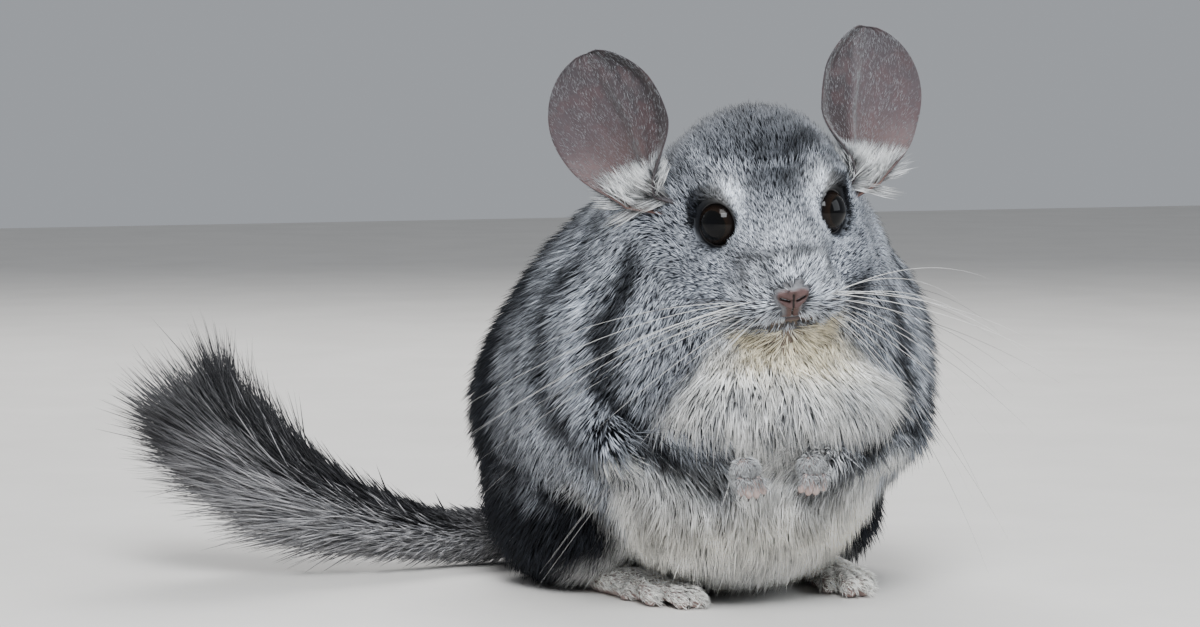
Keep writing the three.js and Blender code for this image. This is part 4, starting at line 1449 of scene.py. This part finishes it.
def growCore(line, material):
    steps = int(tail["coreEnd"] * tail["steps"])
    share = np.linspace(0, 1, tail["steps"])[:steps]
    size = np.interp(share, [0, tail["coreEnd"]], tail["coreRadius"])
    size = size * roundedEnds(np.linspace(0.2, 1, steps), 6)
    core = putSolid("tailCore", tube(line[:steps], size, size, 24), {"along": 0.2, "luck": 0.4, "over": 0.6})
    wear(core, material, "tail_fur", ["tail_root", "tail_brush"])


# Hairs on the core's lower and then its upper half: short at the root, a long brush behind, black on top.
def growBrush(line, along, material):
    number = tail["brushHairs"] // 2
    rise = unit(np.array([0.35, 0.0, 1.0]))
    for k, name in enumerate(("tailBrushLower", "tailBrushUpper")):
        draw = np.random.default_rng(70 + k)
        where = draw.uniform(0.06, tail["coreEnd"] - 0.005, number) ** 0.92
        step = where * (tail["steps"] - 1)
        i = step.astype(int)
        t = (step - i)[:, None]
        spot = line[i] * (1 - t) + line[i + 1] * t
        way = unit(along[i] * (1 - t) + along[i + 1] * t)
        side = unit(np.cross(rise, way))
        top = np.cross(way, side)
        turn = draw.uniform(0, math.pi, number) + (0 if k else math.pi)
        radial = side * np.cos(turn)[:, None] + top * np.sin(turn)[:, None]
        size = np.interp(where, [0, tail["coreEnd"]], tail["coreRadius"])
        brush = smooth(where, *tail["brushStart"])
        rootLength = draw.uniform(*tail["rootCoat"], number)
        brushLength = draw.uniform(*tail["brushLength"], number)
        brushLength = brushLength * (1 - 0.25 * smooth(where, *tail["brushEnd"]) * draw.random(number))
        length = rootLength * (1 - brush) + brushLength * brush
        spread = (0.55 + 0.30 * np.maximum(np.sin(turn), 0) * brush)[:, None]
        jitter = draw.normal(size=spot.shape)
        start = unit(way + radial * spread + 0.10 * jitter)
        bend = way * 0.10 - radial * 0.10 + 0.06 * jitter
        over = smooth(np.sin(turn) + 0.25 * draw.normal(size=number), -0.1, 0.6) * smooth(where, 0.12, 0.42)
        over = np.maximum(over, smooth(where, 0.62, 0.80) * 0.85)
        uvSpots = inSquare(np.stack([where, (turn % math.pi) / math.pi], -1))
        piece = tuftMesh(name, spot + radial * (size * 0.9)[:, None], start, bend, length,
                         tail["hairWidth"] - 0.12 * brush, tail["hairThickness"],
                         {"luck": draw.random(number), "over": over}, uvSpots, rings=3, taper=0.7)
        wear(piece, material, "tail_fur")
        print(name, len(piece.data.polygons), "triangles")


print("tail")
tailLine = curveThrough([onBody(*place) for place in tail["line"]], tail["steps"])
tailWays = unit(np.gradient(tailLine, axis=0))
tailLine[:, 2] = np.maximum(tailLine[:, 2], tail["coreHeight"])
tailMaterial = tailFinish()
growCore(tailLine, tailMaterial)
growBrush(tailLine, tailWays, tailMaterial)


# Whiskers

whisker = {
    "rows": 5,
    "each": 6,
    "length": (45.0, 95.0),
    "radius": 0.12,
    "aside": (0.62, 0.13),  # on the muzzle's grid: the first of a row, and from each to the next
    "height": (-0.24, 0.11, -0.03),  # the first, from row to row, and from each to the next
    "sweep": (-0.15, 0.15),  # how far back a hair points: the first, and from each to the next
    "rise": (-0.9, 0.21),  # how far up a hair points: the lowest row, and from row to row
    "stray": 0.08,
    "droop": (0.05, 0.2, -0.34),
    "front": -102.0,  # they stay behind this, and short of the next on the left
    "left": 83.5,
    "paleShare": 0.62,
    "darkColour": (0.03, 0.028, 0.03),
    "paleColour": (0.75, 0.74, 0.72),
}


def whiskers():
    parts, tones = [], []
    t = np.linspace(0, 1, 16)[:, None]
    size = whisker["radius"] * (1 - 0.9 * t[:, 0])
    rows, each = range(whisker["rows"]), range(whisker["each"])
    for side, row, k in [(side, row, k) for side in (-1, 1) for row in rows for k in each]:
        aside = whisker["aside"][0] + whisker["aside"][1] * k
        high = whisker["height"][0] + whisker["height"][1] * row + whisker["height"][2] * k
        root = onMuzzle(headWay(side * aside, -1, high))[0]
        length = chance.uniform(*whisker["length"])
        back = whisker["sweep"][0] + whisker["sweep"][1] * k + whisker["stray"] * chance.normal()
        rise = whisker["rise"][0] + whisker["rise"][1] * row + whisker["stray"] * chance.normal()
        out = headWay(side, back, rise)
        droop = np.array(whisker["droop"]) * (side, 1, 1) * chance.uniform(0.6, 1.4)
        path = root - out * 0.5 + length * (t * out + t * t * droop)
        room = (whisker["left"] - root[0]) / max(path[:, 0].max() - root[0], 1.0)
        path = root + (path - root) * min(1.0, room)
        path[:, 1] = np.maximum(path[:, 1], whisker["front"])
        parts.append(tube(path, size, size, 5))
        tones.append(np.full(len(parts[-1][0]), float(chance.random() < whisker["paleShare"])))
    spots, faces = joinMeshes(parts)
    spots[:, 2] = np.maximum(spots[:, 2], 0.3)
    return putSolid("whiskers", (spots, faces), {"tone": np.concatenate(tones)})


def whiskerFinish():
    finish = Finish("whisker", Roughness=0.35, Specular_IOR_Level=0.5)
    colour = finish.mix(finish.mark("tone"), whisker["darkColour"], whisker["paleColour"])
    return finish.set(Base_Color=finish.scaled(colour, finish.noise(300.0) * 0.4 + 0.8))


print("whiskers")
wear(whiskers(), whiskerFinish(), "white_fur")


# Floor, light and camera

studio = {
    "azimuth": -24.0,
    "elevation": 4.0,
    "distance": 1200.0,
    "aim": (-35.0, 89.5),
    "lens": 108.0,
    "floorHalf": 2600,
    "floorColours": [(0.2, (0.62, 0.60, 0.57)), (0.8, (0.70, 0.68, 0.65))],
    "sky": (0.80, 0.84, 0.90, 1),
    "skyStrength": 0.45,
}
# Place, aim, size, power and colour of each light.
lights = {
    "keyLight": ((-315, -740, 736), (-10, -40, 100), (430, 360), 11.0, (0.92, 0.96, 1.0)),
    "topLight": ((-420, -700, 1350), (0, 0, 80), (620, 620), 14.0, (1, 1, 1)),
    "fillLight": ((950, -800, 620), (0, 0, 80), (900, 900), 9.0, (0.90, 0.95, 1.0)),
    "rimLight": ((300, 1000, 1000), (0, 0, 100), (900, 600), 16.0, (1, 1, 1)),
}


def makeFloor():
    spots = np.array([[-1, -1, 0], [1, -1, 0], [1, 1, 0], [-1, 1, 0]], float) * studio["floorHalf"]
    floor = putMesh("floor", spots, np.arange(4), 4, smoothShade=False)
    finish = Finish("floorPaint", Specular_IOR_Level=0.2)
    tone = finish.noise(14.0, 4.0, 0.6)
    colour = finish.ramp(tone, studio["floorColours"])
    floor.data.materials.append(finish.set(Base_Color=colour, Roughness=tone * 0.2 + 0.6))


def softLight(name, place, aim, size, power, colour):
    data = bpy.data.lights.new(name, "AREA")
    data.shape = "RECTANGLE"
    data.size, data.size_y = size[0] * mm, size[1] * mm
    data.energy = power
    data.color = colour
    light = bpy.data.objects.new(name, data)
    light.matrix_world = aimed(np.array(place, float), np.array(aim, float))
    bpy.context.scene.collection.objects.link(light)


def aimed(place, aim):
    back = unit(place - aim)
    right = unit(np.cross(up, back))
    top = np.cross(back, right)
    matrix = np.eye(4)
    matrix[:3, :3] = np.stack([right, top, back], -1)
    matrix[:3, 3] = place * mm
    return Matrix(matrix.tolist())


def makeCamera():
    a, e = math.radians(studio["azimuth"]), math.radians(studio["elevation"])
    right = np.array([math.cos(a), math.sin(a), 0])
    ahead = np.array([-math.sin(a) * math.cos(e), math.cos(a) * math.cos(e), -math.sin(e)])
    above = np.cross(right, ahead)
    aim = right * studio["aim"][0] + above * studio["aim"][1]
    data = bpy.data.cameras.new("camera")
    data.lens = studio["lens"]
    data.sensor_width = 36.0
    data.clip_start, data.clip_end = 0.01, 20.0
    camera = bpy.data.objects.new("camera", data)
    camera.matrix_world = aimed(aim - ahead * studio["distance"], aim)
    bpy.context.scene.collection.objects.link(camera)
    bpy.context.scene.camera = camera


print("studio")
makeFloor()
for name, settings in lights.items():
    softLight(name, *settings)
world = bpy.data.worlds.new("studioWorld")
world.use_nodes = True
world.node_tree.nodes["Background"].inputs["Color"].default_value = studio["sky"]
world.node_tree.nodes["Background"].inputs["Strength"].default_value = studio["skyStrength"]
bpy.context.scene.world = world
makeCamera()
